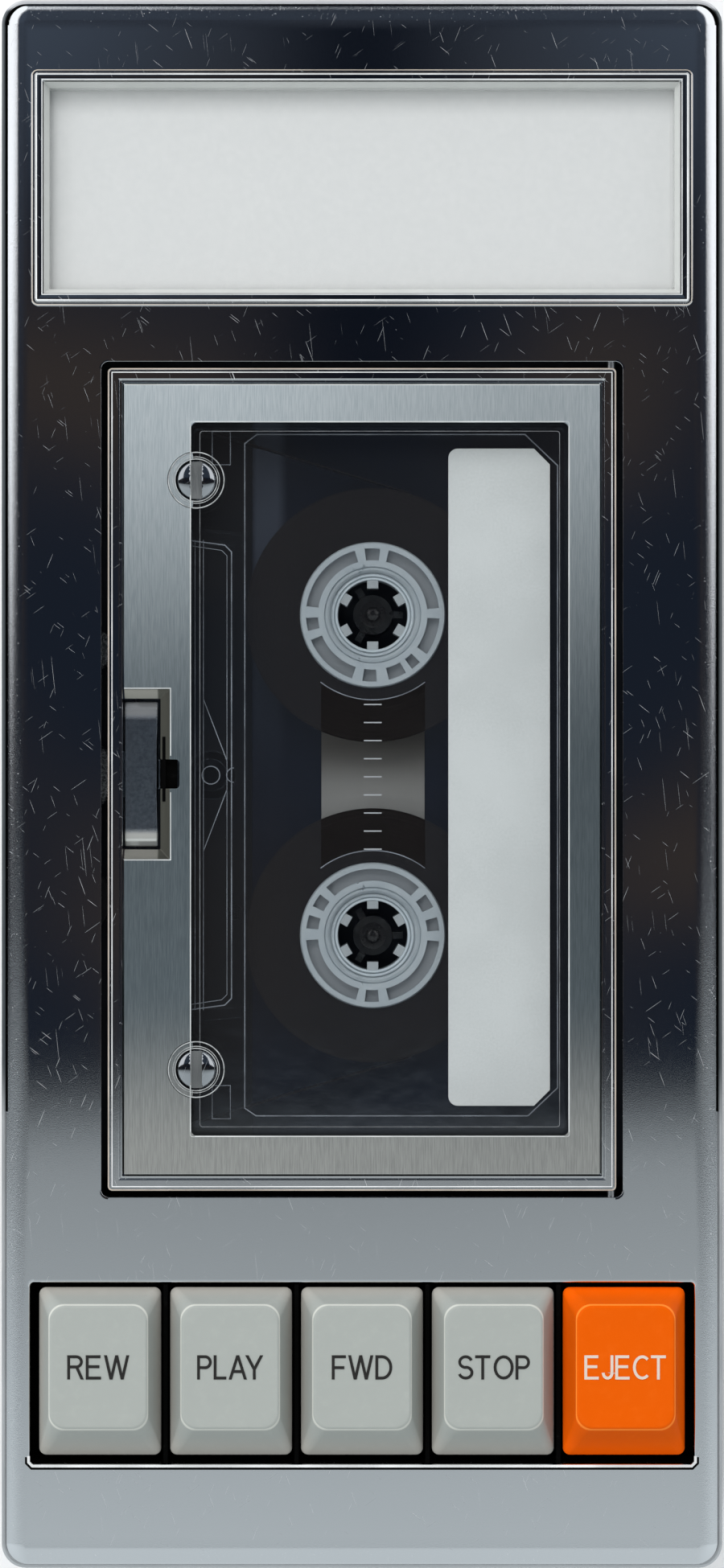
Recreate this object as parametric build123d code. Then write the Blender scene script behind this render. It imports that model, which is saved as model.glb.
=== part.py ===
from build123d import *
import math
import os

# A portable cassette radio player, in millimetres.
# It lies on its back as it is used: +X to the right, +Y to the dial end, +Z out of the face.
# The origin is on the table, under the middle of the case.

# Case, whose length and width follow from what is laid out on its face and beside the cassette
side_margin = 3.88
bottom_margin = 14.1
key_door_gap = 11.2
door_dial_gap = 7.3
top_margin = 9.6
body_corner = 3.2
foot_height = 1.5
foot_radius = 4.5
foot_taper = 0.4
rear_depth = 12.0
middle_depth = 24.1
front_rise = 2.4
wall = 2.0
rear_edge = 1.2

# Chromed front cover, let into the rim of the middle case
panel_inset = 0.9
panel_fit = 0.05
panel_thickness = 1.6
panel_skirt = 4.5
edge_roll = 2.4
opening_roll = 0.7

# Dial window
dial_side_margin = 4.1
dial_length = 31.0
dial_corner = 0.6
bezel_rise = 0.8
bezel_width = 2.3
bezel_collar = 0.8
dial_lens_thickness = 1.0
dial_lens_drop = 1.0
dial_plate_thickness = 0.8
dial_plate_drop = 3.0

# Cassette door
door_side_cover = 1.4
door_end_cover = 3.7
door_corner = 0.6
door_gap = 0.8
door_rise = 0.3
door_depth = 3.0
frame_width = 1.95
frame_ledge = 2.0
frame_edge = 0.5
plate_gap = 0.2
plate_thickness = 1.0
plate_sink = 0.15
window_margin_left = 10.9
window_margin_right = 6.25
window_margin_top = 7.1
window_margin_bottom = 7.2
window_corner = 0.8
lens_step_gap = 1.1
lens_step_rise = 0.65
lens_flange = 1.8
lens_screw_inset = 0.7
lens_screw_below_top = 7.6
lens_screw_above_bottom = 8.7
lens_screw_recess = 0.5
lens_screw_height = 0.9
lens_boss_radius = 3.68
lens_screw_radius = 2.6
lens_screw_shank = 0.9
screw_slot_width = 0.7
hinge_inset = 0.65
hinge_drop = 1.0
hinge_pin_radius = 0.5
hinge_pin_reach = 2.4
running_fit = 0.05

# Latch in the door's left edge
latch_length = 19.05
latch_width = 4.35
latch_above_middle = 0.7
latch_thickness = 1.35
latch_travel = 1.6
latch_bevel = 1.45
latch_end_gap = 0.3
latch_nose_length = 6.0
latch_nose_height = 0.8
latch_tongue_length = 3.8
latch_tongue_reach = 2.6

# Keys
key_count = 5
key_pitch = 17.16
key_width = 16.0
key_length = 22.0
key_height = 7.6
key_base_drop = 4.0
key_wall = 1.2
key_corner = 1.4
key_slope_upper = 0.8
key_slope_lower = 4.3
key_slope_side = 1.5
key_slot_upper = 0.7
key_slot_lower = 1.1
key_slot_side = 1.2
key_slot_corner = 0.7
pivot_reach = 6.0
pivot_drop = 4.6
key_shaft_radius = 1.0
key_boss_radius = 2.0
key_boss_length = 12.0
key_frame_wall = 0.5
key_frame_floor = 1.5
key_frame_drop = 11.5
key_frame_side = 0.6
comb_rail = 1.0
comb_thickness = 0.4
comb_foot = 3.0
comb_reach = 3.0
comb_finger = 4.0
comb_gap = 0.8

# Compact cassette, turned with its tape edge to the left
cassette_length = 100.4
cassette_width = 63.8
cassette_thick = 12.0
cassette_thin = 8.8
cassette_wall = 1.1
cassette_corner = 1.5
tape_depth = 9.1
hub_spacing = 42.5
cassette_left_of_door = 0.98
cassette_above_door = 0.57
hub_from_edge = 34.3
hub_radius = 9.67
hub_height = 5.0
hub_bore = 4.6
hub_tooth_reach = 3.6
hub_tooth_width = 1.5
hub_pocket_inner = 7.25
hub_pocket_outer = 8.85
hub_pocket_depth = 1.6
shell_hole = 5.3
pack_radius = 16.85
tape_width = 3.8
tape_thickness = 0.12
tape_inset = 2.68
thick_part_width = 17.1
thick_part_length = 67.2
thick_part_taper = 1.7
window_height = 7.4
head_window = 17.2
side_window = 10.0
side_window_y = 16.7
capstan_hole = 3.0
locating_y = 27.0
locating_inset = 5.4
centre_hole_radius = 2.1
centre_hole_inset = 12.9
guide_roller_radius = 3.0
guide_roller_inset = 5.7
guide_roller_pin = 0.9
deck_pin_radius = 1.4
label_width = 13.4
label_edge_margin = 6.12
label_end_margin = 6.8
label_drop = 0.27
label_corner = 2.1
label_thickness = 0.12

# Deck under the cassette
deck_thickness = 1.4
deck_side_gap = 1.6
deck_beyond_well = 1.7
deck_short_of_well = 1.1
ledge_depth = 2.6
deck_drop = 6.9
deck_rest_radius = 2.2
spindle_radius = 2.6
spindle_fin_reach = 4.0
spindle_fin_width = 0.9
spindle_shaft = 1.5
spindle_disc_radius = 11.0
drive_disc_height = 3.0
drive_disc_drop = 1.6
capstan_radius = 1.0
capstan_hub_radius = 4.0
flywheel_radius = 14.0
flywheel_height = 6.0
flywheel_drop = 7.6
belt_thickness = 1.0
belt_height = 1.8
belt_gap = 0.1
wheel_gap = 0.3
idler_shaft = 1.0
motor_from_side = 15.4
motor_below_takeup = 3.92
motor_radius = 12.0
motor_height = 9.0
motor_shaft_radius = 0.8
pulley_radius = 3.5
pulley_height = 2.8
pulley_flange = 0.3

# Head carriage
head_travel = 3.0
head_rest_gap = 0.55
head_plate_thickness = 1.0
head_plate_lift = 0.3
head_plate_width = 7.4
head_plate_up = 26.83
head_plate_end_gap = 3.0
head_length = 9.0
head_height = 6.4
head_depth = 7.0
erase_length = 5.0
erase_height = 5.4
erase_depth = 5.2
pinch_radius = 4.5
pinch_height = 6.6
pinch_axle = 1.0
guide_stud_radius = 1.2
guide_stud_head = 1.9
guide_stud_clearance = 0.15
guide_stud_margin = 0.6
guide_stud_end = 4.0
head_plate_margin = 1.1
head_plate_side_gap = 1.0
pinch_gap = 0.15
pinch_arm_radius = 1.5
pinch_arm_x = -41.0
pinch_arm_y = -28.0
pinch_arm_thickness = 0.8

# Sound, tuning and power
board_thickness = 1.6
board_z = 17.0
board_side_gap = 2.4
board_deck_gap = 1.5
board_end_gap = 2.2
board_corner_gap = 0.3
speaker_radius = 18.0
speaker_from_board_end = 21.5
speaker_grille_rim = 2.5
speaker_depth = 9.0
magnet_radius = 8.5
cone_thickness = 0.5
cone_gap = 0.6
speaker_flange = 1.5
grille_slots = 9
grille_pitch = 3.4
grille_slot_width = 1.6
antenna_radius = 4.0
antenna_length = 62.0
antenna_x = -6.0
antenna_inset = 4.0
antenna_z = 31.0
antenna_clip_x = 24.0
antenna_clip_width = 3.0
thumbwheel_radius = 9.0
thumbwheel_height = 4.0
thumbwheel_inset = 0.5
thumbwheel_lift = 0.5
thumbwheel_flutes = 24
thumbwheel_flute_radius = 0.5
control_size = 13.0
control_height = 3.6
control_shaft = 2.0
volume_from_board_end = 7.5
thumbwheel_spacing = 20.0
scoop_length = 18.0
scoop_height = 8.0
scoop_depth = 1.0
jack_x = -20.0
jack_z = 22.5
jack_bore = 1.75
jack_radius = 3.5
jack_length = 13.0
jack_bore_length = 12.0
cell_radius = 7.25
cell_length = 50.5
cell_count = 4
cell_pitch = 14.9
cell_gap = 0.3
cell_button_radius = 2.6
cell_button_height = 1.0
contact_thickness = 0.4
contact_room = 1.8
contact_size = 10.0
contact_leaf = 4.0
battery_wall = 1.5
battery_tongue = 1.0
battery_door_gap = 0.2
battery_door_travel = 6.0
screw_inset_x = 6.4
screw_inset_y = 6.2
screw_boss_radius = 3.2
screw_head_radius = 2.6
screw_head_height = 1.6
screw_head_depth = 5.0
screw_shank_radius = 1.2
screw_shank_length = 11.0
screw_boss_height = 7.0
screw_fit = 0.1
foot_inset_x = 9.4
foot_inset_y = 17.0

# Levels above the table
rear_z = foot_height
split_z = rear_z + rear_depth
rim_z = split_z + middle_depth
face_z = rim_z + front_rise
face_under = face_z - panel_thickness
panel_foot = face_z - panel_skirt
door_top = face_z + door_rise
door_under = door_top - door_depth
plate_top = door_top - plate_sink
plate_under = plate_top - plate_thickness
tape_z = face_z - tape_depth
deck_top = tape_z - deck_drop
deck_under = deck_top - deck_thickness

# Places in plan, worked out from the bottom end of the face to its top end
door_width = cassette_width + 2 * door_side_cover
door_length = cassette_length + 2 * door_end_cover
door_opening_x = door_width / 2 + door_gap
door_opening_y = door_length / 2 + door_gap
key_slot_x = (key_count - 1) / 2 * key_pitch + key_width / 2 + key_slot_side
key_slot_length = key_length + key_slot_upper + key_slot_lower
cassette_left_x = cassette_left_of_door + cassette_width / 2
carriage_x = cassette_left_x + head_travel + head_plate_margin + head_plate_width
body_width = 2 * max(key_slot_x + side_margin, carriage_x + head_plate_side_gap + wall)
body_length = (
    bottom_margin + key_slot_length + key_door_gap + 2 * door_opening_y
    + door_dial_gap + dial_length + top_margin
)
inner_x = body_width / 2 - wall
inner_y = body_length / 2 - wall
key_slot_bottom = bottom_margin - body_length / 2
key_slot_top = key_slot_bottom + key_slot_length
keys_y = key_slot_bottom + key_slot_lower + key_length / 2
door_y = key_slot_top + key_door_gap + door_opening_y
dial_y = body_length / 2 - top_margin - dial_length / 2
dial_width = body_width - 2 * dial_side_margin
tape_edge_x = -cassette_left_x
label_edge_x = tape_edge_x + cassette_width
hub_x = tape_edge_x + hub_from_edge
hub_mid_y = door_y + cassette_above_door
tape_run_x = tape_edge_x + tape_inset
supply_y = hub_mid_y + hub_spacing / 2
takeup_y = hub_mid_y - hub_spacing / 2
capstan_x = tape_run_x + tape_thickness / 2 + wheel_gap + capstan_radius
capstan_y = hub_mid_y - side_window_y
hinge_x = door_width / 2 - hinge_inset
hinge_z = face_z - hinge_drop
pivot_y = keys_y + key_length / 2 + pivot_reach
pivot_z = face_z - pivot_drop
key_base = face_z - key_base_drop


def block(x0, x1, y0, y1, z0, z1):
    """A block between two corners."""
    box = Box(x1 - x0, y1 - y0, z1 - z0)
    return Pos((x0 + x1) / 2, (y0 + y1) / 2, (z0 + z1) / 2) * box


def slab(width, length, radius, z0, z1, x=0.0, y=0.0):
    """A plate with rounded corners, centred on x and y."""
    outline = RectangleRounded(width, length, radius)
    return Pos(x, y, z0) * extrude(outline, z1 - z0)


def disc(x, y, z0, z1, radius):
    """An upright cylinder."""
    return Pos(x, y, (z0 + z1) / 2) * Cylinder(radius, z1 - z0)


def rod_x(x0, x1, y, z, radius):
    """A cylinder along X."""
    return Pos((x0 + x1) / 2, y, z) * Rot(0, 90, 0) * Cylinder(radius, x1 - x0)


def rod_y(x, y0, y1, z, radius):
    """A cylinder along Y."""
    return Pos(x, (y0 + y1) / 2, z) * Rot(90, 0, 0) * Cylinder(radius, y1 - y0)


def group(shapes):
    """Separate solids kept together as one node."""
    solids = []
    for shape in shapes:
        solids.extend(shape.solids())
    return Compound(children=solids)


def key_x(index):
    """The middle of a key, counted from the left."""
    return (index - (key_count - 1) / 2) * key_pitch


def corners_of(half_x, half_y):
    """The four corners of a rectangle about the origin."""
    return [(side * half_x, end * half_y) for side in (-1, 1) for end in (-1, 1)]


# Case shells

screw_x = body_width / 2 - screw_inset_x
screw_y = body_length / 2 - screw_inset_y
foot_x = body_width / 2 - foot_inset_x
foot_y = body_length / 2 - foot_inset_y
deck_half = inner_x - deck_side_gap
deck_top_y = door_y + door_opening_y + deck_beyond_well
deck_bottom_y = door_y - door_opening_y + deck_short_of_well
board_half = inner_x - board_side_gap
board_bottom_y = deck_top_y + board_deck_gap
board_top_y = inner_y - board_end_gap
speaker_y = board_bottom_y + speaker_from_board_end
antenna_y = board_top_y - antenna_inset
volume_y = board_bottom_y + volume_from_board_end
tuning_y = volume_y + thumbwheel_spacing
bezel_opening_x = dial_width / 2 - bezel_width + bezel_collar
bezel_opening_y = dial_length / 2 - bezel_width + bezel_collar
wheel_x = body_width / 2 - thumbwheel_inset - thumbwheel_radius
board_top = board_z + board_thickness
control_top = board_top + control_height
wheel_z = control_top + thumbwheel_lift
battery_inner_x = cell_length / 2 + contact_room
cell_z = rear_z + wall + cell_gap + cell_radius
cell_first_y = -inner_y + cell_gap + cell_radius
battery_top_y = cell_first_y + (cell_count - 1) * cell_pitch + cell_radius + cell_gap


def front_panel_shell():
    """The bent sheet of the front cover, before its openings."""
    width = body_width - 2 * (panel_inset + panel_fit)
    length = body_length - 2 * (panel_inset + panel_fit)
    radius = body_corner - panel_inset
    outer = slab(width, length, radius, panel_foot, face_z)
    outer = fillet(outer.faces().sort_by(Axis.Z)[-1].edges(), min(edge_roll, radius))
    inner_width = width - 2 * panel_thickness
    inner_length = length - 2 * panel_thickness
    inner_radius = radius - panel_thickness
    inner = slab(inner_width, inner_length, inner_radius, panel_foot - 1, face_under)
    return outer - inner


def make_front_cover():
    """A polished panel with a rolled edge, a dial window, a door opening and a key slot."""
    cover = front_panel_shell()
    corner = door_corner + door_gap
    cover -= slab(2 * door_opening_x, 2 * door_opening_y, corner, face_under - 1, face_z + 1, y=door_y)
    slot_y = (key_slot_top + key_slot_bottom) / 2
    cover -= slab(2 * key_slot_x, key_slot_length, key_slot_corner, face_under - 1, face_z + 1, y=slot_y)
    rims = cover.faces().sort_by(Axis.Z)[-1].inner_wires()
    cover = chamfer([edge for rim in rims for edge in rim.edges()], opening_roll)
    opening = slab(2 * bezel_opening_x, 2 * bezel_opening_y, dial_corner, face_under - 1, face_z + 1, y=dial_y)
    cover -= opening
    lug_depth = 2 * hinge_drop + hinge_pin_radius
    for end in (-1, 1):
        lug_y = door_y + end * (door_opening_y + hinge_pin_reach / 2 + 0.3)
        reach = hinge_pin_reach / 2 + 0.3
        lug = block(hinge_x - 2, hinge_x + 2, lug_y - reach, lug_y + reach, face_z - lug_depth, face_under)
        cover += lug
        tip = door_y + end * (door_length / 2 + door_gap + hinge_pin_reach)
        root = door_y + end * (door_length / 2)
        bore = rod_y(hinge_x, min(tip, root), max(tip, root), hinge_z, hinge_pin_radius + running_fit)
        cover -= bore
    return cover


def screw_pillar(x, y, low, high, room=0.0):
    """A square pillar round a case screw, out to the two walls that meet beside it."""
    edge_x = math.copysign(inner_x + wall / 4, x)
    edge_y = math.copysign(inner_y + wall / 4, y)
    inside_x = x - math.copysign(screw_boss_radius + room, x)
    inside_y = y - math.copysign(screw_boss_radius + room, y)
    return block(
        min(edge_x, inside_x), max(edge_x, inside_x), min(edge_y, inside_y), max(edge_y, inside_y), low, high,
    )


def make_middle_case():
    """The satin frame of the case, with ledges for the deck and the circuit board."""
    case = slab(body_width, body_length, body_corner, split_z, rim_z)
    case = chamfer(case.faces().sort_by(Axis.Z)[-1].edges(), 0.15 * wall)
    case -= slab(2 * inner_x, 2 * inner_y, body_corner - wall, split_z - 1, rim_z + 1)
    rebate_width = body_width - 2 * panel_inset
    rebate_length = body_length - 2 * panel_inset
    case -= slab(rebate_width, rebate_length, body_corner - panel_inset, panel_foot, rim_z + 1)
    for side in (-1, 1):
        edges = sorted([side * inner_x, side * (inner_x - ledge_depth)])
        case += block(edges[0], edges[1], deck_bottom_y, deck_top_y, deck_under - wall, deck_under)
        case += block(edges[0], edges[1], board_bottom_y, board_top_y, board_z - wall, board_z)
    for x, y in corners_of(screw_x, screw_y):
        case += screw_pillar(x, y, split_z, split_z + screw_boss_height)
        bore_top = rear_z + screw_head_depth + screw_shank_length + 0.5
        case -= disc(x, y, split_z - 1, bore_top, screw_shank_radius + screw_fit)
    wheel_top = wheel_z + thumbwheel_height
    for y in (volume_y, tuning_y):
        middle_z = (wheel_z + wheel_top) / 2
        outer_x = body_width / 2
        scoop = block(
            outer_x - scoop_depth, outer_x + 1, y - scoop_length / 2, y + scoop_length / 2,
            middle_z - scoop_height / 2, middle_z + scoop_height / 2,
        )
        scoop = chamfer(scoop.faces().sort_by(Axis.X)[0].edges(), 0.6 * scoop_depth)
        case -= scoop
        case -= disc(wheel_x, y, wheel_z - thumbwheel_lift, wheel_top + thumbwheel_lift, thumbwheel_radius + 0.4)
    case -= rod_y(jack_x, inner_y - 1, body_length / 2 + 1, jack_z, jack_radius + screw_fit)
    return case


def make_rear_cover():
    """The moulded back, with the battery compartment and the speaker grille."""
    tub = slab(body_width, body_length, body_corner, rear_z, split_z)
    tub = chamfer(tub.faces().sort_by(Axis.Z)[0].edges(), rear_edge)
    cavity = slab(2 * inner_x, 2 * inner_y, body_corner - wall, rear_z + wall, split_z + 1)
    tub -= cavity
    box_x = battery_inner_x + battery_wall
    box_top = rear_z + wall + 2 * cell_radius
    box = block(-box_x, box_x, -inner_y, battery_top_y + battery_wall, rear_z, min(box_top, split_z))
    box -= block(-battery_inner_x, battery_inner_x, -inner_y - 1, battery_top_y, rear_z - 1, split_z + 1)
    tub += box
    tub -= block(-battery_inner_x, battery_inner_x, -body_length, battery_top_y, rear_z - 1, rear_z + wall)
    tongue_x = battery_inner_x + battery_tongue
    groove_low = rear_z + wall / 2 - battery_tongue / 2
    groove = block(
        -tongue_x - battery_door_gap, tongue_x + battery_door_gap, -body_length, battery_top_y,
        groove_low - battery_door_gap / 2, groove_low + battery_tongue + battery_door_gap / 2,
    )
    tub -= groove
    for x, y in corners_of(screw_x, screw_y):
        tub += screw_pillar(x, y, rear_z + wall / 2, split_z)
        tub -= disc(x, y, rear_z - 1, rear_z + screw_head_depth, screw_head_radius + screw_fit)
        tub -= disc(x, y, rear_z - 1, split_z + 1, screw_shank_radius + screw_fit)
    for index in range(grille_slots):
        offset = (index - (grille_slots - 1) / 2) * grille_pitch
        half = math.sqrt((speaker_radius - speaker_grille_rim) ** 2 - offset ** 2)
        y = speaker_y + offset
        low = y - grille_slot_width / 2
        tub -= block(-half, half, low, low + grille_slot_width, rear_z - 1, rear_z + wall + 1)
    return tub


def make_rubber_feet():
    """Four tapered feet, stuck to the back."""
    pad = Cone(foot_radius - foot_taper, foot_radius, foot_height)
    return group([Pos(x, y, foot_height / 2) * pad for x, y in corners_of(foot_x, foot_y)])


def make_case_screws():
    """Four screws that hold the back to the middle case, deep in their counterbores."""
    screws = []
    seat = rear_z + screw_head_depth
    for x, y in corners_of(screw_x, screw_y):
        head = disc(x, y, seat - screw_head_height, seat, screw_head_radius)
        screws.append(head + disc(x, y, seat, seat + screw_shank_length, screw_shank_radius))
    return group(screws)


# Dial window

def make_dial_bezel():
    """The chromed frame round the dial, with a bevel down to the window."""
    top = face_z + bezel_rise
    outer = slab(dial_width, dial_length, dial_corner, face_z, top, y=dial_y)
    outer = chamfer(outer.faces().sort_by(Axis.Z)[-1].edges(), 0.3 * bezel_rise)
    collar = slab(
        2 * bezel_opening_x - 2 * panel_fit, 2 * bezel_opening_y - 2 * panel_fit, dial_corner,
        face_z - dial_plate_drop, face_z, y=dial_y,
    )
    inner_width = dial_width - 2 * bezel_width
    inner_length = dial_length - 2 * bezel_width
    hole = slab(inner_width, inner_length, dial_corner / 2, face_z - 2 * dial_plate_drop, top + 1, y=dial_y)
    return outer + collar - hole


def make_dial_lens():
    """A clear window in the bezel."""
    top = face_z - dial_lens_drop + 0.4
    width = dial_width - 2 * bezel_width - 2 * panel_fit
    length = dial_length - 2 * bezel_width - 2 * panel_fit
    return slab(width, length, dial_corner / 2, top - dial_lens_thickness, top, y=dial_y)


def make_dial_plate():
    """The pale plate behind the window, face to face with the bezel's collar."""
    top = face_z - dial_plate_drop
    return slab(
        2 * bezel_opening_x, 2 * bezel_opening_y, dial_corner,
        top - dial_plate_thickness, top, y=dial_y,
    )


# Cassette door

window_left = window_margin_left - door_width / 2
window_right = door_width / 2 - window_margin_right
window_top = door_y + door_length / 2 - window_margin_top
window_bottom = door_y - door_length / 2 + window_margin_bottom
lens_screw_x = window_left + lens_screw_inset
lens_screw_top = window_top - lens_screw_below_top
lens_screw_bottom = window_bottom + lens_screw_above_bottom
latch_y = door_y + latch_above_middle
plate_half_x = door_width / 2 - frame_width
plate_half_y = door_length / 2 - frame_width
ledge_x = plate_half_x - frame_ledge
ledge_y = plate_half_y - frame_ledge
window_mid_y = (window_top + window_bottom) / 2
latch_left = -plate_half_x + plate_gap
latch_right = latch_left + latch_width
latch_room = latch_right + latch_travel + plate_gap
latch_half = latch_length / 2
latch_top = plate_under - 0.1
latch_under = latch_top - latch_thickness
tongue_half = latch_tongue_length / 2
lens_top = plate_under
lens_under = lens_top - lens_flange


def make_door_frame():
    """The chromed frame of the door, with a ledge that carries the plate and the lens."""
    frame = slab(door_width, door_length, door_corner, door_under, door_top, y=door_y)
    frame = chamfer(frame.faces().sort_by(Axis.Z)[-1].edges(), frame_edge)
    seat_low, seat_high = door_y - plate_half_y, door_y + plate_half_y
    frame -= block(-plate_half_x, plate_half_x, seat_low, seat_high, plate_under, door_top + 1)
    frame -= block(-ledge_x, ledge_x, door_y - ledge_y, door_y + ledge_y, door_under - 1, door_top + 1)
    gap = latch_half + latch_end_gap
    frame -= block(
        -plate_half_x, latch_room, latch_y - gap, latch_y + gap, door_under - 1, plate_under + 0.01,
    )
    nose = latch_nose_length / 2 + plate_gap
    nose_top = latch_under + latch_nose_height + plate_gap
    frame -= block(-door_width, -plate_half_x, latch_y - nose, latch_y + nose, latch_under - 0.1, nose_top)
    for end in (-1, 1):
        tip = door_y + end * door_length / 2
        root = tip - end * hinge_pin_reach
        frame -= rod_y(hinge_x, min(tip, root), max(tip, root), hinge_z, hinge_pin_radius)
    return frame


def make_door_plate():
    """The brushed plate of the door, with its window and the bevelled latch recess."""
    half_x = plate_half_x - plate_gap
    half_y = plate_half_y - plate_gap
    plate = block(-half_x, half_x, door_y - half_y, door_y + half_y, plate_under, plate_top)
    window = slab(
        window_right - window_left, window_top - window_bottom, window_corner,
        plate_under - 1, plate_top + 1, x=(window_right + window_left) / 2, y=window_mid_y,
    )
    plate -= window
    for y in (lens_screw_top, lens_screw_bottom):
        plate -= disc(lens_screw_x, y, plate_under - 1, plate_top + 1, lens_boss_radius + 0.1)
    low = latch_half + latch_end_gap
    high = low + latch_bevel
    floor_x = latch_right + latch_end_gap
    outline_low = Rectangle(floor_x + door_width, 2 * low)
    outline_high = Rectangle(floor_x + latch_bevel + door_width, 2 * high)
    middle_low = (floor_x - door_width) / 2
    middle_high = (floor_x + latch_bevel - door_width) / 2
    recess = loft([
        Pos(middle_low, latch_y, plate_under) * outline_low,
        Pos(middle_high, latch_y, plate_top) * outline_high,
    ])
    plate -= recess
    notch_right = latch_right + latch_tongue_reach + latch_end_gap
    notch_half = tongue_half
    notch = slab(
        notch_right - latch_right + 1, 2 * notch_half, 0.5, plate_under - 1, plate_top + 1,
        x=(notch_right + latch_right - 1) / 2, y=latch_y,
    )
    return plate - notch


def make_door_lens():
    """The clear window of the door, stepped up into the plate's opening."""
    right = ledge_x - plate_gap
    half = ledge_y - plate_gap
    lens = block(-right, right, door_y - half, door_y + half, lens_under, lens_top)
    step_width = window_right - window_left - 2 * lens_step_gap
    step_length = window_top - window_bottom - 2 * lens_step_gap
    lens += slab(
        step_width, step_length, window_corner, lens_top, lens_top + lens_step_rise,
        x=(window_right + window_left) / 2, y=window_mid_y,
    )
    for y in (lens_screw_top, lens_screw_bottom):
        lens += disc(lens_screw_x, y, lens_under, plate_top, lens_boss_radius)
        lens -= disc(lens_screw_x, y, plate_top - lens_screw_recess, plate_top + 1, lens_screw_radius + screw_fit)
        lens -= disc(lens_screw_x, y, lens_under - 1, plate_top, lens_screw_shank + screw_fit)
    room = latch_half + latch_end_gap
    lens -= block(-door_width, latch_room, latch_y - room, latch_y + room, lens_under - 1, lens_top + 1)
    pocket_right = latch_right + latch_tongue_reach + latch_travel + plate_gap
    pocket = tongue_half + latch_end_gap
    lens -= block(latch_room - 1, pocket_right, latch_y - pocket, latch_y + pocket, lens_under - 1, lens_top + 1)
    return lens


def make_lens_screws():
    """Two domed screws with a straight slot, through the bosses of the lens."""
    screws = []
    seat = plate_top - lens_screw_recess
    for y in (lens_screw_top, lens_screw_bottom):
        head = disc(lens_screw_x, y, seat, seat + lens_screw_height, lens_screw_radius)
        head = chamfer(head.faces().sort_by(Axis.Z)[-1].edges(), 0.5 * lens_screw_height)
        half = screw_slot_width / 2
        slot_low = seat + 0.6 * lens_screw_height
        reach = 2 * lens_screw_radius
        head -= block(lens_screw_x - half, lens_screw_x + half, y - reach, y + reach, slot_low, seat + reach)
        screws.append(head + disc(lens_screw_x, y, lens_under + 0.2, seat, lens_screw_shank))
    return group(screws)


def make_hinge_pins():
    """Two pins pressed into the door frame, which turn in the front cover's lugs."""
    pins = []
    for end in (-1, 1):
        root = door_y + end * (door_length / 2 - hinge_pin_reach)
        tip = door_y + end * (door_length / 2 + door_gap + hinge_pin_reach - 0.2)
        pins.append(rod_y(hinge_x, min(root, tip), max(root, tip), hinge_z, hinge_pin_radius))
    return group(pins)


def make_door_latch():
    """The polished finger bar, with its nose through the frame and its tongue under the plate."""
    bar = block(latch_left, latch_right, latch_y - latch_half, latch_y + latch_half, latch_under, latch_top)
    top_ends = bar.faces().sort_by(Axis.Z)[-1].edges().filter_by(Axis.X)
    bar = chamfer(top_ends, 0.6 * latch_thickness)
    nose_tip = -door_width / 2 + 0.1
    nose = latch_nose_length / 2
    bar += block(
        nose_tip, latch_left + 0.5, latch_y - nose, latch_y + nose,
        latch_under, latch_under + latch_nose_height,
    )
    bar += block(
        latch_right - 0.5, latch_right + latch_tongue_reach, latch_y - tongue_half, latch_y + tongue_half,
        latch_under, latch_top - 0.2,
    )
    return bar


# Keys

key_far_y = pivot_y - keys_y + key_length / 2
key_frame_low = face_z - key_frame_drop
frame_x = key_slot_x + key_frame_wall
frame_top_y = pivot_y + key_boss_radius + 2 * key_frame_wall
frame_bottom_y = key_slot_bottom - key_frame_wall
comb_y = frame_top_y - 2 * key_frame_wall


def key_cap_form(inset, top_drop):
    """The tapered block of a keycap, drawn in by inset on every side."""
    width = key_width - 2 * inset
    length = key_length - 2 * inset
    top_width = width - 2 * key_slope_side
    top_length = length - key_slope_upper - key_slope_lower
    shift = (key_slope_lower - key_slope_upper) / 2
    base = Pos(0, keys_y, key_base) * Rectangle(width, length)
    top_z = key_base + key_height - top_drop
    crown = Pos(0, keys_y + shift, top_z) * Rectangle(top_width, top_length)
    return loft([base, crown], ruled=True)


def make_key(index):
    """A hollow keycap with two arms that run under the cover to a boss on the shaft."""
    cap = key_cap_form(0, 0)
    rising = [edge for edge in cap.edges() if edge.bounding_box().size.Z > key_height / 2]
    cap = fillet(rising, key_corner)
    hollow = key_cap_form(key_wall, key_wall)
    key = cap - hollow
    arm_low = pivot_z - key_boss_radius
    arm_high = key_base + key_wall
    arm_x = key_boss_length / 2
    cap_end = keys_y + key_length / 2 - 1.2 * key_wall
    for side in (-1, 1):
        inner = side * (arm_x - key_wall)
        outer = side * arm_x
        key += block(min(inner, outer), max(inner, outer), cap_end - 6, pivot_y, arm_low, arm_high)
    key += rod_x(-arm_x, arm_x, pivot_y, pivot_z, key_boss_radius)
    key -= rod_x(-key_width, key_width, pivot_y, pivot_z, key_shaft_radius + running_fit)
    return Pos(key_x(index), 0, 0) * key


def make_key_shaft():
    """The steel rod that all five keys turn on."""
    return rod_x(-frame_x, frame_x, pivot_y, pivot_z, key_shaft_radius)


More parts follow.
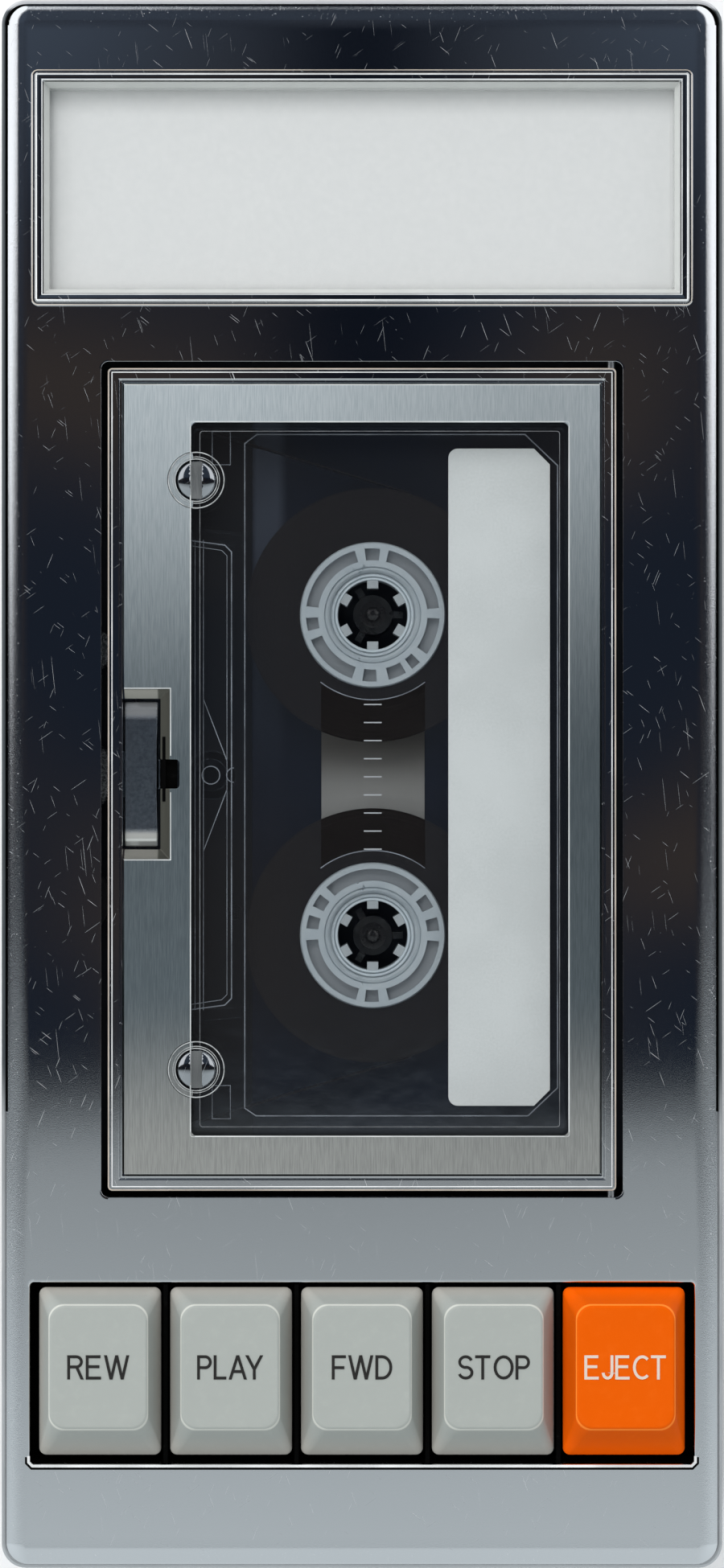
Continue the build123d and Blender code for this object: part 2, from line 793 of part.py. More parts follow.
def make_key_frame():
    """The black tray behind the keys, with a rib between each pair."""
    side = frame_x + key_frame_side
    outer = block(-side, side, frame_bottom_y, frame_top_y, key_frame_low, face_under)
    floor_top = key_frame_low + key_frame_floor
    inner_top = frame_top_y - key_frame_wall
    tray = outer - block(-frame_x, frame_x, key_slot_bottom, inner_top, floor_top, face_under + 1)
    slope = key_slope_side / key_height
    for index in range(key_count - 1):
        x = key_x(index) + key_pitch / 2
        half = (key_pitch - key_width) / 4
        y0 = key_slot_bottom
        rib_top = face_z - 2 * opening_roll * slope
        tray += block(x - half, x + half, y0, key_slot_top - 0.3, floor_top, rib_top)
        tray += block(x - half, x + half, key_slot_top - 0.4, inner_top + 0.1, floor_top, face_under)
    tray -= rod_x(-frame_x, frame_x, pivot_y, pivot_z, key_shaft_radius)
    rail_back = comb_y + running_fit
    rail_front = comb_y - comb_rail - running_fit
    tray -= block(-frame_x, frame_x, rail_front, rail_back, floor_top, floor_top + 1.2 * comb_thickness)
    return tray


def make_key_return_comb():
    """A leaf comb on the tray's floor, with one finger below each pair of key arms."""
    floor_top = key_frame_low + key_frame_floor
    comb = None
    for index in range(key_count):
        x = key_x(index)
        half = comb_finger / 2
        front = comb_y - comb_foot
        high = pivot_z - key_boss_radius - comb_gap
        foot = block(x - half, x + half, front, comb_y, floor_top, floor_top + comb_thickness)
        post = block(x - half, x + half, front, front + comb_thickness, floor_top, high)
        tip = block(x - half, x + half, front - comb_reach, front + comb_thickness, high - comb_thickness, high)
        piece = foot + post + tip
        comb = piece if comb is None else comb + piece
    rail_half = key_x(key_count - 1) + key_boss_length / 2
    return comb + block(-rail_half, rail_half, comb_y - comb_rail, comb_y, floor_top, floor_top + comb_thickness)


# Cassette

tape_edge_wall = tape_edge_x + cassette_wall
cassette_x = (tape_edge_x + label_edge_x) / 2
side_window_ys = [hub_mid_y - side_window_y, hub_mid_y + side_window_y]
guide_roller_x = tape_run_x + tape_thickness + guide_roller_radius
guide_roller_out = cassette_length / 2 - guide_roller_inset
roller_ys = [hub_mid_y - guide_roller_out, hub_mid_y + guide_roller_out]
hub_ys = [supply_y, takeup_y]
cassette_floor = cassette_thin / 2 - cassette_wall
hub_gap = 0.3

# The arcs of the shallow pockets in each hub's face, in degrees from +X
supply_pockets = [
    (6, 76), (83.5, 97), (105.5, 172.5), (182.5, 194), (202, 252),
    (261, 273.5), (284, 300), (306, 315), (324, 357),
]
takeup_pockets = [
    (4, 16), (25, 38), (46, 134), (142, 154), (162, 174),
    (184, 255.5), (263, 275.5), (284, 355),
]


def cassette_half():
    """One half of the cassette's shell, with its outer face up and the joint plane at z = 0."""
    thin = cassette_thin / 2
    thick = cassette_thick / 2
    shell = slab(cassette_width, cassette_length, cassette_corner, 0, thin, x=cassette_x, y=hub_mid_y)
    edge_half = thick_part_length / 2
    inner_half = edge_half - thick_part_taper
    inner_x_end = tape_edge_x + thick_part_width
    raised = Polygon(
        (tape_edge_x, hub_mid_y - edge_half), (inner_x_end, hub_mid_y - inner_half),
        (inner_x_end, hub_mid_y + inner_half), (tape_edge_x, hub_mid_y + edge_half),
        align=None,
    )
    shell += extrude(raised, thick)
    inside = slab(
        cassette_width - 2 * cassette_wall, cassette_length - 2 * cassette_wall,
        cassette_corner - cassette_wall, -1, thin - cassette_wall, x=cassette_x, y=hub_mid_y,
    )
    inside += block(
        tape_edge_wall, inner_x_end - cassette_wall, hub_mid_y - inner_half + cassette_wall,
        hub_mid_y + inner_half - cassette_wall, -1, thick - cassette_wall,
    )
    shell -= inside
    for y in hub_ys:
        collar = disc(hub_x, y, hub_height / 2 + hub_gap, thin, shell_hole + cassette_wall)
        shell += collar
        shell -= disc(hub_x, y, -1, thick, shell_hole)
    shell += disc(tape_edge_x + centre_hole_inset, hub_mid_y, 0, thick, centre_hole_radius + cassette_wall)
    shell -= disc(tape_edge_x + centre_hole_inset, hub_mid_y, -1, thick + 1, centre_hole_radius)
    window = window_height / 2
    shell -= block(
        tape_edge_x - 1, tape_edge_wall + 1, hub_mid_y - head_window / 2, hub_mid_y + head_window / 2, -1, window,
    )
    for y in side_window_ys:
        shell -= block(tape_edge_x - 1, tape_edge_wall + 1, y - side_window / 2, y + side_window / 2, -1, window)
        shell -= disc(capstan_x, y, -1, thick + 1, capstan_hole)
    for y in (hub_mid_y - locating_y, hub_mid_y + locating_y):
        shell -= disc(tape_edge_x + locating_inset, y, -1, thick + 1, deck_pin_radius + hub_gap)
    for y in roller_ys:
        shell += disc(guide_roller_x, y, 0, thin - cassette_wall / 2, guide_roller_pin)
    return shell


def make_cassette_shell_upper():
    """The upper half of the clear shell."""
    return Pos(0, 0, tape_z) * cassette_half()


def make_cassette_shell_lower():
    """The lower half of the clear shell, a mirror image of the upper."""
    return Pos(0, 0, tape_z) * mirror(cassette_half(), about=Plane.XY)


def make_cassette_label():
    """The blank paper label, square-cut at its outer corners."""
    top = tape_z + cassette_thin / 2
    length = cassette_length - 2 * label_end_margin
    middle_x = label_edge_x - label_edge_margin - label_width / 2
    label = extrude(Rectangle(label_width, length), label_thickness)
    label = Pos(middle_x, hub_mid_y - label_drop, top) * label
    left = label.edges().filter_by(Axis.Z).group_by(Axis.X)[0]
    label = fillet(left, 0.6 * label_corner)
    right = label.edges().filter_by(Axis.Z).group_by(Axis.X)[-1]
    return chamfer(right, label_corner)


def make_cassette_liner():
    """The slip sheet under the tape packs."""
    low = tape_z - cassette_floor
    left = tape_edge_x + thick_part_width + cassette_wall
    right = label_edge_x - 1.5 * cassette_wall
    half = cassette_length / 2 - 2 * cassette_wall
    sheet = block(left, right, hub_mid_y - half, hub_mid_y + half, low, low + 0.2)
    for y in hub_ys:
        sheet -= disc(hub_x, y, low - 1, low + 1, shell_hole + cassette_wall + 0.1)
    return sheet


def arc_pocket(inner, outer, z0, z1, start, end):
    """A cutter shaped as part of a ring."""
    profile = Plane.XZ * Pos((inner + outer) / 2, (z0 + z1) / 2) * Rectangle(outer - inner, z1 - z0)
    return Rot(0, 0, start) * revolve(profile, Axis.Z, revolution_arc=end - start)


def make_hub(y, pockets):
    """A hub with six driving teeth and shallow pockets in its face."""
    half = hub_height / 2
    hub = Cylinder(hub_radius, hub_height) - Cylinder(hub_bore, 2 * hub_height)
    for index in range(6):
        tooth = block(
            hub_tooth_reach, (hub_bore + hub_pocket_inner) / 2,
            -hub_tooth_width / 2, hub_tooth_width / 2, -half, half,
        )
        hub += Rot(0, 0, 30 + 60 * index) * tooth
    for start, end in pockets:
        hub -= arc_pocket(hub_pocket_inner, hub_pocket_outer, half - hub_pocket_depth, half + 1, start, end)
    return Pos(hub_x, y, tape_z) * hub


def make_tape_pack(y):
    """The tape wound on a hub."""
    outer = Cylinder(pack_radius, tape_width)
    return Pos(hub_x, y, tape_z) * (outer - Cylinder(hub_radius + running_fit, 2 * tape_width))


def make_tape_run():
    """The tape from pack to pack, round the two guide rollers and past the heads."""
    pack_path = pack_radius + tape_thickness
    roller_path = guide_roller_radius + tape_thickness / 2 + running_fit
    across = hub_x - guide_roller_x
    along = supply_y - roller_ys[1]
    spread = math.hypot(across, along)
    normal = math.atan2(along, across) + math.acos((roller_path - pack_path) / spread)
    turn = math.degrees(normal)
    lift_x = math.cos(normal)
    lift_y = math.sin(normal)
    leave = (hub_x + pack_path * lift_x, supply_y + pack_path * lift_y)
    meet = (guide_roller_x + roller_path * lift_x, roller_ys[1] + roller_path * lift_y)
    upper = [
        Line(leave, meet),
        CenterArc((guide_roller_x, roller_ys[1]), roller_path, turn, 180 - turn),
    ]
    lower = [mirror(line, about=Plane.XZ.offset(-hub_mid_y)) for line in upper]
    left = guide_roller_x - roller_path
    run = Line((left, roller_ys[1]), (left, roller_ys[0]))
    strip = trace(upper + lower + [run], tape_thickness)
    return Pos(0, 0, tape_z - tape_width / 2) * extrude(strip, tape_width)


def make_guide_roller(y):
    """A small roller at a corner of the cassette."""
    height = 2 * (cassette_floor - hub_gap)
    roller = Cylinder(guide_roller_radius, height) - Cylinder(guide_roller_pin + running_fit, 2 * height)
    return Pos(guide_roller_x, y, tape_z) * roller


def make_pressure_pad():
    """The felt pad behind the tape, on its leaf."""
    pad_left = tape_run_x + tape_thickness + hub_gap
    pad_right = pad_left + 1.4
    pad = block(pad_left, pad_right, hub_mid_y - 2.2, hub_mid_y + 2.2, tape_z - 1.8, tape_z + 1.8)
    leaf_half = head_window / 2
    leaf = block(
        pad_right, pad_right + 0.3, hub_mid_y - leaf_half, hub_mid_y + leaf_half,
        tape_z - cassette_floor + 0.2, tape_z + cassette_floor - 0.2,
    )
    return pad + leaf


# Deck and drive

spindle_disc_top = deck_under - drive_disc_drop
spindle_disc_low = spindle_disc_top - drive_disc_height
flywheel_top = deck_under - flywheel_drop
flywheel_low = flywheel_top - flywheel_height
belt_z = (flywheel_top + flywheel_low) / 2
drive_x = hub_x - capstan_x
drive_y = takeup_y - capstan_y
drive_length = math.hypot(drive_x, drive_y)
idler_radius = (drive_length - capstan_hub_radius - spindle_disc_radius - 2 * wheel_gap) / 2
idler_share = (capstan_hub_radius + wheel_gap + idler_radius) / drive_length
idler_x = capstan_x + idler_share * drive_x
idler_y = capstan_y + idler_share * drive_y
motor_x = inner_x - motor_from_side
motor_y = takeup_y - motor_below_takeup
head_plate_top = hub_mid_y + head_plate_up
head_plate_bottom = deck_bottom_y + head_plate_end_gap
head_plate_right = tape_edge_x - head_travel - head_plate_margin
stud_x = head_plate_right - guide_stud_margin - guide_stud_radius - guide_stud_clearance
stud_ys = [head_plate_top - guide_stud_end, head_plate_bottom + guide_stud_end]
head_plate_low = deck_top + head_plate_lift
head_plate_high = head_plate_low + head_plate_thickness


def make_deck_plate():
    """The steel deck, with rests and pins for the cassette and studs for the head plate."""
    deck = block(-deck_half, deck_half, deck_bottom_y, deck_top_y, deck_under, deck_top)
    thick_rest = tape_z - cassette_thick / 2
    thin_rest = tape_z - cassette_thin / 2
    rest_right = label_edge_x - 2 * deck_rest_radius
    for y in (hub_mid_y - locating_y, hub_mid_y + locating_y):
        pin_x = tape_edge_x + locating_inset
        deck += disc(pin_x, y, deck_top, thick_rest, deck_rest_radius)
        deck += disc(pin_x, y, thick_rest, tape_z - cassette_floor, deck_pin_radius)
    for y in roller_ys:
        deck += block(
            rest_right - deck_rest_radius, rest_right + deck_rest_radius,
            y - deck_rest_radius, y + deck_rest_radius, deck_top, thin_rest,
        )
    for y in stud_ys:
        deck += disc(stud_x, y, deck_top, head_plate_high + 2 * head_plate_lift, guide_stud_radius)
        cap_low = head_plate_high + head_plate_lift
        deck += disc(stud_x, y, cap_low, cap_low + 0.6, guide_stud_head)
    for y in hub_ys:
        deck -= disc(hub_x, y, deck_under - 1, deck_top + 1, spindle_shaft + running_fit)
    deck -= disc(capstan_x, capstan_y, deck_under - 1, deck_top + 1, capstan_radius + running_fit)
    deck -= disc(idler_x, idler_y, deck_under - 1, deck_top + 1, idler_shaft + running_fit)
    return deck


def make_spindle(y):
    """A reel spindle with three fins and a tapered tip, on its drive disc."""
    top = tape_z + hub_height / 2
    foot = deck_top + hub_gap
    spindle = disc(hub_x, y, foot, top, spindle_radius)
    tip = Pos(hub_x, y, top + 0.6) * Cone(spindle_radius, 0.5 * spindle_radius, 1.2)
    spindle += tip
    for index in range(3):
        fin = block(0, spindle_fin_reach, -spindle_fin_width / 2, spindle_fin_width / 2, tape_z - 2, top)
        fin = chamfer(fin.faces().sort_by(Axis.X)[-1].edges().sort_by(Axis.Z)[-1], 1.2)
        spindle += Pos(hub_x, y, 0) * Rot(0, 0, 120 * index) * fin
    spindle += disc(hub_x, y, spindle_disc_low, foot, spindle_shaft)
    return spindle + disc(hub_x, y, spindle_disc_low, spindle_disc_top, spindle_disc_radius)


def make_capstan_flywheel():
    """The capstan in its flywheel, with the small hub that drives the idler."""
    wheel = disc(capstan_x, capstan_y, flywheel_low, flywheel_top, flywheel_radius)
    wheel += disc(capstan_x, capstan_y, flywheel_top, spindle_disc_top, capstan_hub_radius)
    return wheel + disc(capstan_x, capstan_y, spindle_disc_top, tape_z + tape_width, capstan_radius)


def make_idler_wheel():
    """The idler between the flywheel's hub and the take-up spindle."""
    wheel = disc(idler_x, idler_y, spindle_disc_low, spindle_disc_top, idler_radius)
    return wheel + disc(idler_x, idler_y, spindle_disc_top, deck_top, idler_shaft)


def make_motor():
    """The motor can, hung under the deck."""
    low = deck_under - motor_height
    can = disc(motor_x, motor_y, low, deck_under, motor_radius)
    return can - disc(motor_x, motor_y, low - 1, low + motor_height / 2, motor_shaft_radius + running_fit)


def make_motor_pulley():
    """The flanged pulley on the motor's shaft."""
    low = belt_z - pulley_height / 2
    high = belt_z + pulley_height / 2
    rim = pulley_radius + belt_gap + 0.7 * belt_thickness
    pulley = disc(motor_x, motor_y, low, high, pulley_radius)
    pulley += disc(motor_x, motor_y, low, low + pulley_flange, rim)
    pulley += disc(motor_x, motor_y, high - pulley_flange, high, rim)
    return pulley + disc(motor_x, motor_y, high, deck_under - motor_height / 2 - 1, motor_shaft_radius)


def belt_outline(offset):
    """The line of the belt round the flywheel and the pulley."""
    first = Pos(capstan_x, capstan_y) * Circle(flywheel_radius + offset)
    second = Pos(motor_x, motor_y) * Circle(pulley_radius + offset)
    return make_hull(first.edges() + second.edges())


def make_drive_belt():
    """The rubber belt from the motor to the flywheel."""
    outline = belt_outline(belt_gap + belt_thickness) - belt_outline(belt_gap)
    return Pos(0, 0, belt_z - belt_height / 2) * extrude(outline, belt_height)


# Head carriage

head_tip = tape_edge_x - head_rest_gap
pinch_x = tape_run_x - tape_thickness / 2 - pinch_gap - pinch_radius - head_travel


def make_head_plate():
    """The sliding plate that carries the heads, with two slots over its guide studs."""
    left = head_plate_right - head_plate_width
    plate = block(left, head_plate_right, head_plate_bottom, head_plate_top, head_plate_low, head_plate_high)
    half = guide_stud_radius + guide_stud_clearance
    for y in stud_ys:
        slot = slab(head_travel + 2 * half, 2 * half, 0.98 * half, head_plate_low - 1, head_plate_high + 1)
        plate -= Pos(stud_x - head_travel / 2, y, 0) * slot
    return plate


def make_head(y, length, depth, height):
    """A head with a rounded face, standing on the head plate."""
    half = length / 2
    body = block(head_tip - depth, head_tip, y - half, y + half, tape_z - height / 2, tape_z + height / 2)
    front = body.faces().sort_by(Axis.X)[-1].edges().filter_by(Axis.Z)
    body = fillet(front, 0.35 * length)
    foot_right = head_plate_right - 0.2
    foot = block(head_tip - depth, foot_right, y - half, y + half, head_plate_high, tape_z - height / 2 + 0.5)
    return body + foot


def make_pinch_arm():
    """The arm of the pinch roller, with its axle."""
    top = head_plate_high + pinch_arm_thickness
    axle_circle = Pos(pinch_x, capstan_y) * Circle(pinch_arm_radius)
    pivot_circle = Pos(pinch_arm_x, pinch_arm_y) * Circle(pinch_arm_radius)
    arm = make_hull(axle_circle.edges() + pivot_circle.edges())
    arm = Pos(0, 0, head_plate_high) * extrude(arm, pinch_arm_thickness)
    return arm + disc(pinch_x, capstan_y, top, tape_z + pinch_height / 2 + 0.4, pinch_axle)


def make_pinch_roller():
    """The rubber roller that presses the tape to the capstan."""
    roller = Cylinder(pinch_radius, pinch_height) - Cylinder(pinch_axle + running_fit, 2 * pinch_height)
    return Pos(pinch_x, capstan_y, tape_z) * roller


# Sound, tuning and power

def make_circuit_board():
    """The circuit board, resting on the middle case's ledges."""
    board = block(-board_half, board_half, board_bottom_y, board_top_y, board_z, board_top)
    for x, y in corners_of(screw_x, screw_y):
        board -= screw_pillar(x, y, board_z - 1, board_top + 1, room=board_corner_gap)
    return board


speaker_low = rear_z + wall
speaker_high = speaker_low + speaker_depth
speaker_waist = (speaker_low + speaker_high) / 2


def make_speaker():
    """The speaker's steel basket and magnet, face down over the grille."""
    outline = Polygon(
        (0, speaker_waist), (0, speaker_high), (magnet_radius, speaker_high), (magnet_radius, speaker_waist),
        (speaker_radius, speaker_low + speaker_flange), (speaker_radius, speaker_low),
        (speaker_radius - speaker_flange, speaker_low), (magnet_radius - speaker_flange, speaker_waist),
        align=None,
    )
    return Pos(0, speaker_y, 0) * revolve(Plane.XZ * outline, Axis.Z)


def make_speaker_cone():
    """The paper cone, inside the basket."""
    rim = speaker_radius - speaker_flange - cone_gap
    apex_z = speaker_waist - cone_gap - cone_thickness
    apex_radius = magnet_radius - 2 * speaker_flange
    outline = Polygon(
        (0, apex_z), (apex_radius, apex_z), (rim - cone_thickness, speaker_low), (rim, speaker_low),
        (apex_radius, apex_z + cone_thickness), (0, apex_z + cone_thickness),
        align=None,
    )
    return Pos(0, speaker_y, 0) * revolve(Plane.XZ * outline, Axis.Z)


def make_antenna_rod():
    """The ferrite rod with its coil."""
    end = antenna_length / 2
    rod = rod_x(antenna_x - end, antenna_x + end, antenna_y, antenna_z, antenna_radius - 0.6)
    return rod + rod_x(antenna_x - end / 2, antenna_x + end / 2, antenna_y, antenna_z, antenna_radius)


def make_antenna_holder():
    """Two clips that stand on the circuit board and carry the ferrite rod."""
    clips = []
    half = antenna_clip_width / 2
    bore = antenna_radius - 0.6
    for side in (-1, 1):
        x = antenna_x + side * antenna_clip_x
        outer = bore + 1.4
        clip = block(x - half, x + half, antenna_y - outer, antenna_y + outer, board_top, antenna_z + bore / 2)
        clip -= rod_x(x - half - 1, x + half + 1, antenna_y, antenna_z, bore)
        clips.append(clip)
    return group(clips)


def make_thumbwheel(y):
    """A fluted wheel whose rim shows in its scoop, with a shaft into its control."""
    wheel = disc(wheel_x, y, wheel_z, wheel_z + thumbwheel_height, thumbwheel_radius)
    flute = extrude(RegularPolygon(thumbwheel_flute_radius, 4), thumbwheel_height)
    for index in range(thumbwheel_flutes):
        turn = Rot(0, 0, 360 * index / thumbwheel_flutes)
        wheel -= Pos(wheel_x, y, wheel_z) * turn * Pos(thumbwheel_radius, 0, 0) * flute
    return wheel + disc(wheel_x, y, board_top + 1, wheel_z, control_shaft)


def make_control(y):
    """The part on the board that a thumbwheel turns."""
    half = control_size / 2
    control = block(wheel_x - half, wheel_x + half, y - half, y + half, board_top, control_top)
    return control - disc(wheel_x, y, board_top + 1, control_top + 1, control_shaft + running_fit)


def make_earphone_jack():
    """The earphone socket, open at the top end of the case."""
    end = body_length / 2
    barrel = rod_y(jack_x, end - jack_length, end, jack_z, jack_radius)
    base = block(
        jack_x - jack_radius, jack_x + jack_radius, end - jack_length, inner_y - 1,
        board_top, jack_z,
    )
    return barrel + base - rod_y(jack_x, end - jack_bore_length, end + 1, jack_z, jack_bore)


def make_batteries():
    """Four round cells side by side, turned end for end in pairs."""
    cells = []
    for index in range(cell_count):
        y = cell_first_y + index * cell_pitch
        side = 1 if index % 2 == 0 else -1
        end = cell_length / 2
        body_end = end - cell_button_height
        low, high = (-end, body_end) if side > 0 else (-body_end, end)
        cell = rod_x(low, high, y, cell_z, cell_radius)
        nose_low, nose_high = (body_end, end) if side > 0 else (-end, -body_end)
        cells.append(cell + rod_x(nose_low, nose_high, y, cell_z, cell_button_radius))
    return group(cells)


def make_battery_contacts():
    """Eight sprung plates, one at each end of each cell."""
    contacts = []
    half = contact_size / 2
    for index in range(cell_count):
        y = cell_first_y + index * cell_pitch
        for side in (-1, 1):
            outer = side * battery_inner_x
            inner = side * (battery_inner_x - contact_thickness)
            tip = side * (cell_length / 2 + 0.2)
            low = rear_z + wall + 2 * cell_gap
            plate = block(min(outer, inner), max(outer, inner), y - half, y + half, low, low + contact_size)
            leaf = contact_leaf / 2
            low_x, high_x = min(inner, tip), max(inner, tip)
            contacts.append(plate + block(low_x, high_x, y - leaf, y + leaf, cell_z - leaf, cell_z + leaf))
    return group(contacts)


def make_battery_door():
    """The sliding battery door, which follows the rounded end of the back."""
    tub = slab(body_width, body_length, body_corner, rear_z, split_z)
    tub = chamfer(tub.faces().sort_by(Axis.Z)[0].edges(), rear_edge)
    half = battery_inner_x - battery_door_gap
    inner_end = battery_top_y - battery_door_gap
    door = tub & block(-half, half, -body_length, inner_end, rear_z, rear_z + wall - 0.1)
    tongue_x = battery_inner_x + battery_tongue - battery_door_gap
    tongue_low = rear_z + wall / 2 - battery_tongue / 2
    door += block(
        -tongue_x, tongue_x, -inner_y, inner_end, tongue_low + battery_door_gap / 2,
        tongue_low + battery_tongue - battery_door_gap / 2,
    )
    for index in range(5):
        y = -inner_y + 6 + 1.6 * index
        door -= block(-8, 8, y - 0.4, y + 0.4, rear_z - 1, rear_z + 0.4)
    return door


nodes = {
    "front_cover": make_front_cover(),
    "middle_case": make_middle_case(),
    "rear_cover": make_rear_cover(),
    "rubber_feet": make_rubber_feet(),
    "case_screws": make_case_screws(),
    "dial_bezel": make_dial_bezel(),
    "dial_lens": make_dial_lens(),
    "dial_plate": make_dial_plate(),
    "door_frame": make_door_frame(),
    "door_plate": make_door_plate(),
    "door_lens": make_door_lens(),
    "lens_screws": make_lens_screws(),
    "hinge_pins": make_hinge_pins(),
    "door_latch": make_door_latch(),
    "key_frame": make_key_frame(),
    "key_shaft": make_key_shaft(),
    "key_return_comb": make_key_return_comb(),
    "cassette_shell_upper": make_cassette_shell_upper(),
    "cassette_shell_lower": make_cassette_shell_lower(),
    "cassette_label": make_cassette_label(),
    "cassette_liner": make_cassette_liner(),
    "hub_supply": make_hub(supply_y, supply_pockets),
    "hub_takeup": make_hub(takeup_y, takeup_pockets),
    "tape_supply": make_tape_pack(supply_y),
    "tape_takeup": make_tape_pack(takeup_y),
    "tape_run": make_tape_run(),
    "guide_roller_supply": make_guide_roller(roller_ys[1]),
    "guide_roller_takeup": make_guide_roller(roller_ys[0]),
    "pressure_pad": make_pressure_pad(),
    "deck_plate": make_deck_plate(),
    "spindle_supply": make_spindle(supply_y),
    "spindle_takeup": make_spindle(takeup_y),
    "capstan_flywheel": make_capstan_flywheel(),
    "idler_wheel": make_idler_wheel(),
    "motor": make_motor(),
    "motor_pulley": make_motor_pulley(),
    "drive_belt": make_drive_belt(),
    "head_plate": make_head_plate(),
    "playback_head": make_head(hub_mid_y, head_length, head_depth, head_height),
    "erase_head": make_head(hub_mid_y + side_window_y, erase_length, erase_depth, erase_height),
    "pinch_arm": make_pinch_arm(),
    "pinch_roller": make_pinch_roller(),
    "circuit_board": make_circuit_board(),
    "speaker": make_speaker(),
    "speaker_cone": make_speaker_cone(),
    "antenna_rod": make_antenna_rod(),
    "antenna_holder": make_antenna_holder(),
    "volume_wheel": make_thumbwheel(volume_y),
    "volume_control": make_control(volume_y),
    "tuning_wheel": make_thumbwheel(tuning_y),
    "tuning_capacitor": make_control(tuning_y),
    "earphone_jack": make_earphone_jack(),
    "batteries": make_batteries(),
    "battery_contacts": make_battery_contacts(),
    "battery_door": make_battery_door(),
}
for index, name in enumerate(["key_rew", "key_play", "key_fwd", "key_stop", "key_eject"]):
    nodes[name] = make_key(index)

os.makedirs("parts", exist_ok=True)
for name, shape in nodes.items():
    export_step(shape, f"parts/{name}.step")
print(len(nodes), "nodes")
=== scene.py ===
import math

import bmesh
import bpy
from mathutils import Matrix, Vector


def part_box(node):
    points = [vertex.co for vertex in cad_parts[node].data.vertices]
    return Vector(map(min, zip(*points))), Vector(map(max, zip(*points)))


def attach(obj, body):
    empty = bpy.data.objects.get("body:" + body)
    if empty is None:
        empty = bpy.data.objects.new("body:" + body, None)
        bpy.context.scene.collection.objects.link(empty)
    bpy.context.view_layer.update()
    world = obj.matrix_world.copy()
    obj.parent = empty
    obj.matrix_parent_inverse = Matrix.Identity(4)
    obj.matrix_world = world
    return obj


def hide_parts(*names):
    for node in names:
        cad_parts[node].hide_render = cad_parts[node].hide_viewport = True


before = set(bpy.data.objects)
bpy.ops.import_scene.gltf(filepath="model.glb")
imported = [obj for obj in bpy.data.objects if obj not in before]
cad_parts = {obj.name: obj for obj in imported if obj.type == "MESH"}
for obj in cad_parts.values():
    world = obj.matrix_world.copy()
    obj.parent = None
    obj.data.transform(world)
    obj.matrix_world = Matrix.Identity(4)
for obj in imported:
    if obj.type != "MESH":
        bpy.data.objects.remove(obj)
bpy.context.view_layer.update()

# Back of the case
# A matt black tub, moulded in one piece, with a sliding door over the cells.
# Four deep screws hold it, and four rubber feet are stuck to its corners.

mm = 0.001


class Term:
    """A socket of a node tree, on which sums can be written."""

    def __init__(self, graph, socket):
        self.graph = graph
        self.socket = socket

    def joined(self, operation, first, second):
        return self.graph.node("ShaderNodeMath", {"operation": operation}, {0: first, 1: second})

    def __add__(self, other):
        return self.joined("ADD", self, other)

    def __radd__(self, other):
        return self.joined("ADD", other, self)

    def __sub__(self, other):
        return self.joined("SUBTRACT", self, other)

    def __rsub__(self, other):
        return self.joined("SUBTRACT", other, self)

    def __mul__(self, other):
        return self.joined("MULTIPLY", self, other)

    def __rmul__(self, other):
        return self.joined("MULTIPLY", other, self)

    def __truediv__(self, other):
        return self.joined("DIVIDE", self, other)

    def __abs__(self):
        return self.graph.node("ShaderNodeMath", {"operation": "ABSOLUTE"}, {0: self})


class Graph:
    """A node tree that is written as calls, one for each node."""

    def __init__(self, tree):
        self.tree = tree

    def node(self, kind, settings=None, inputs=None, output=0):
        node = self.tree.nodes.new(kind)
        for setting, value in (settings or {}).items():
            setattr(node, setting, value)
        for key, value in (inputs or {}).items():
            socket = node.inputs[key]
            if isinstance(value, Term):
                self.tree.links.new(value.socket, socket)
            elif socket.type == "RGBA" and len(value) == 3:
                socket.default_value = (*value, 1.0)
            else:
                socket.default_value = value
        return Term(self, node.outputs[output])


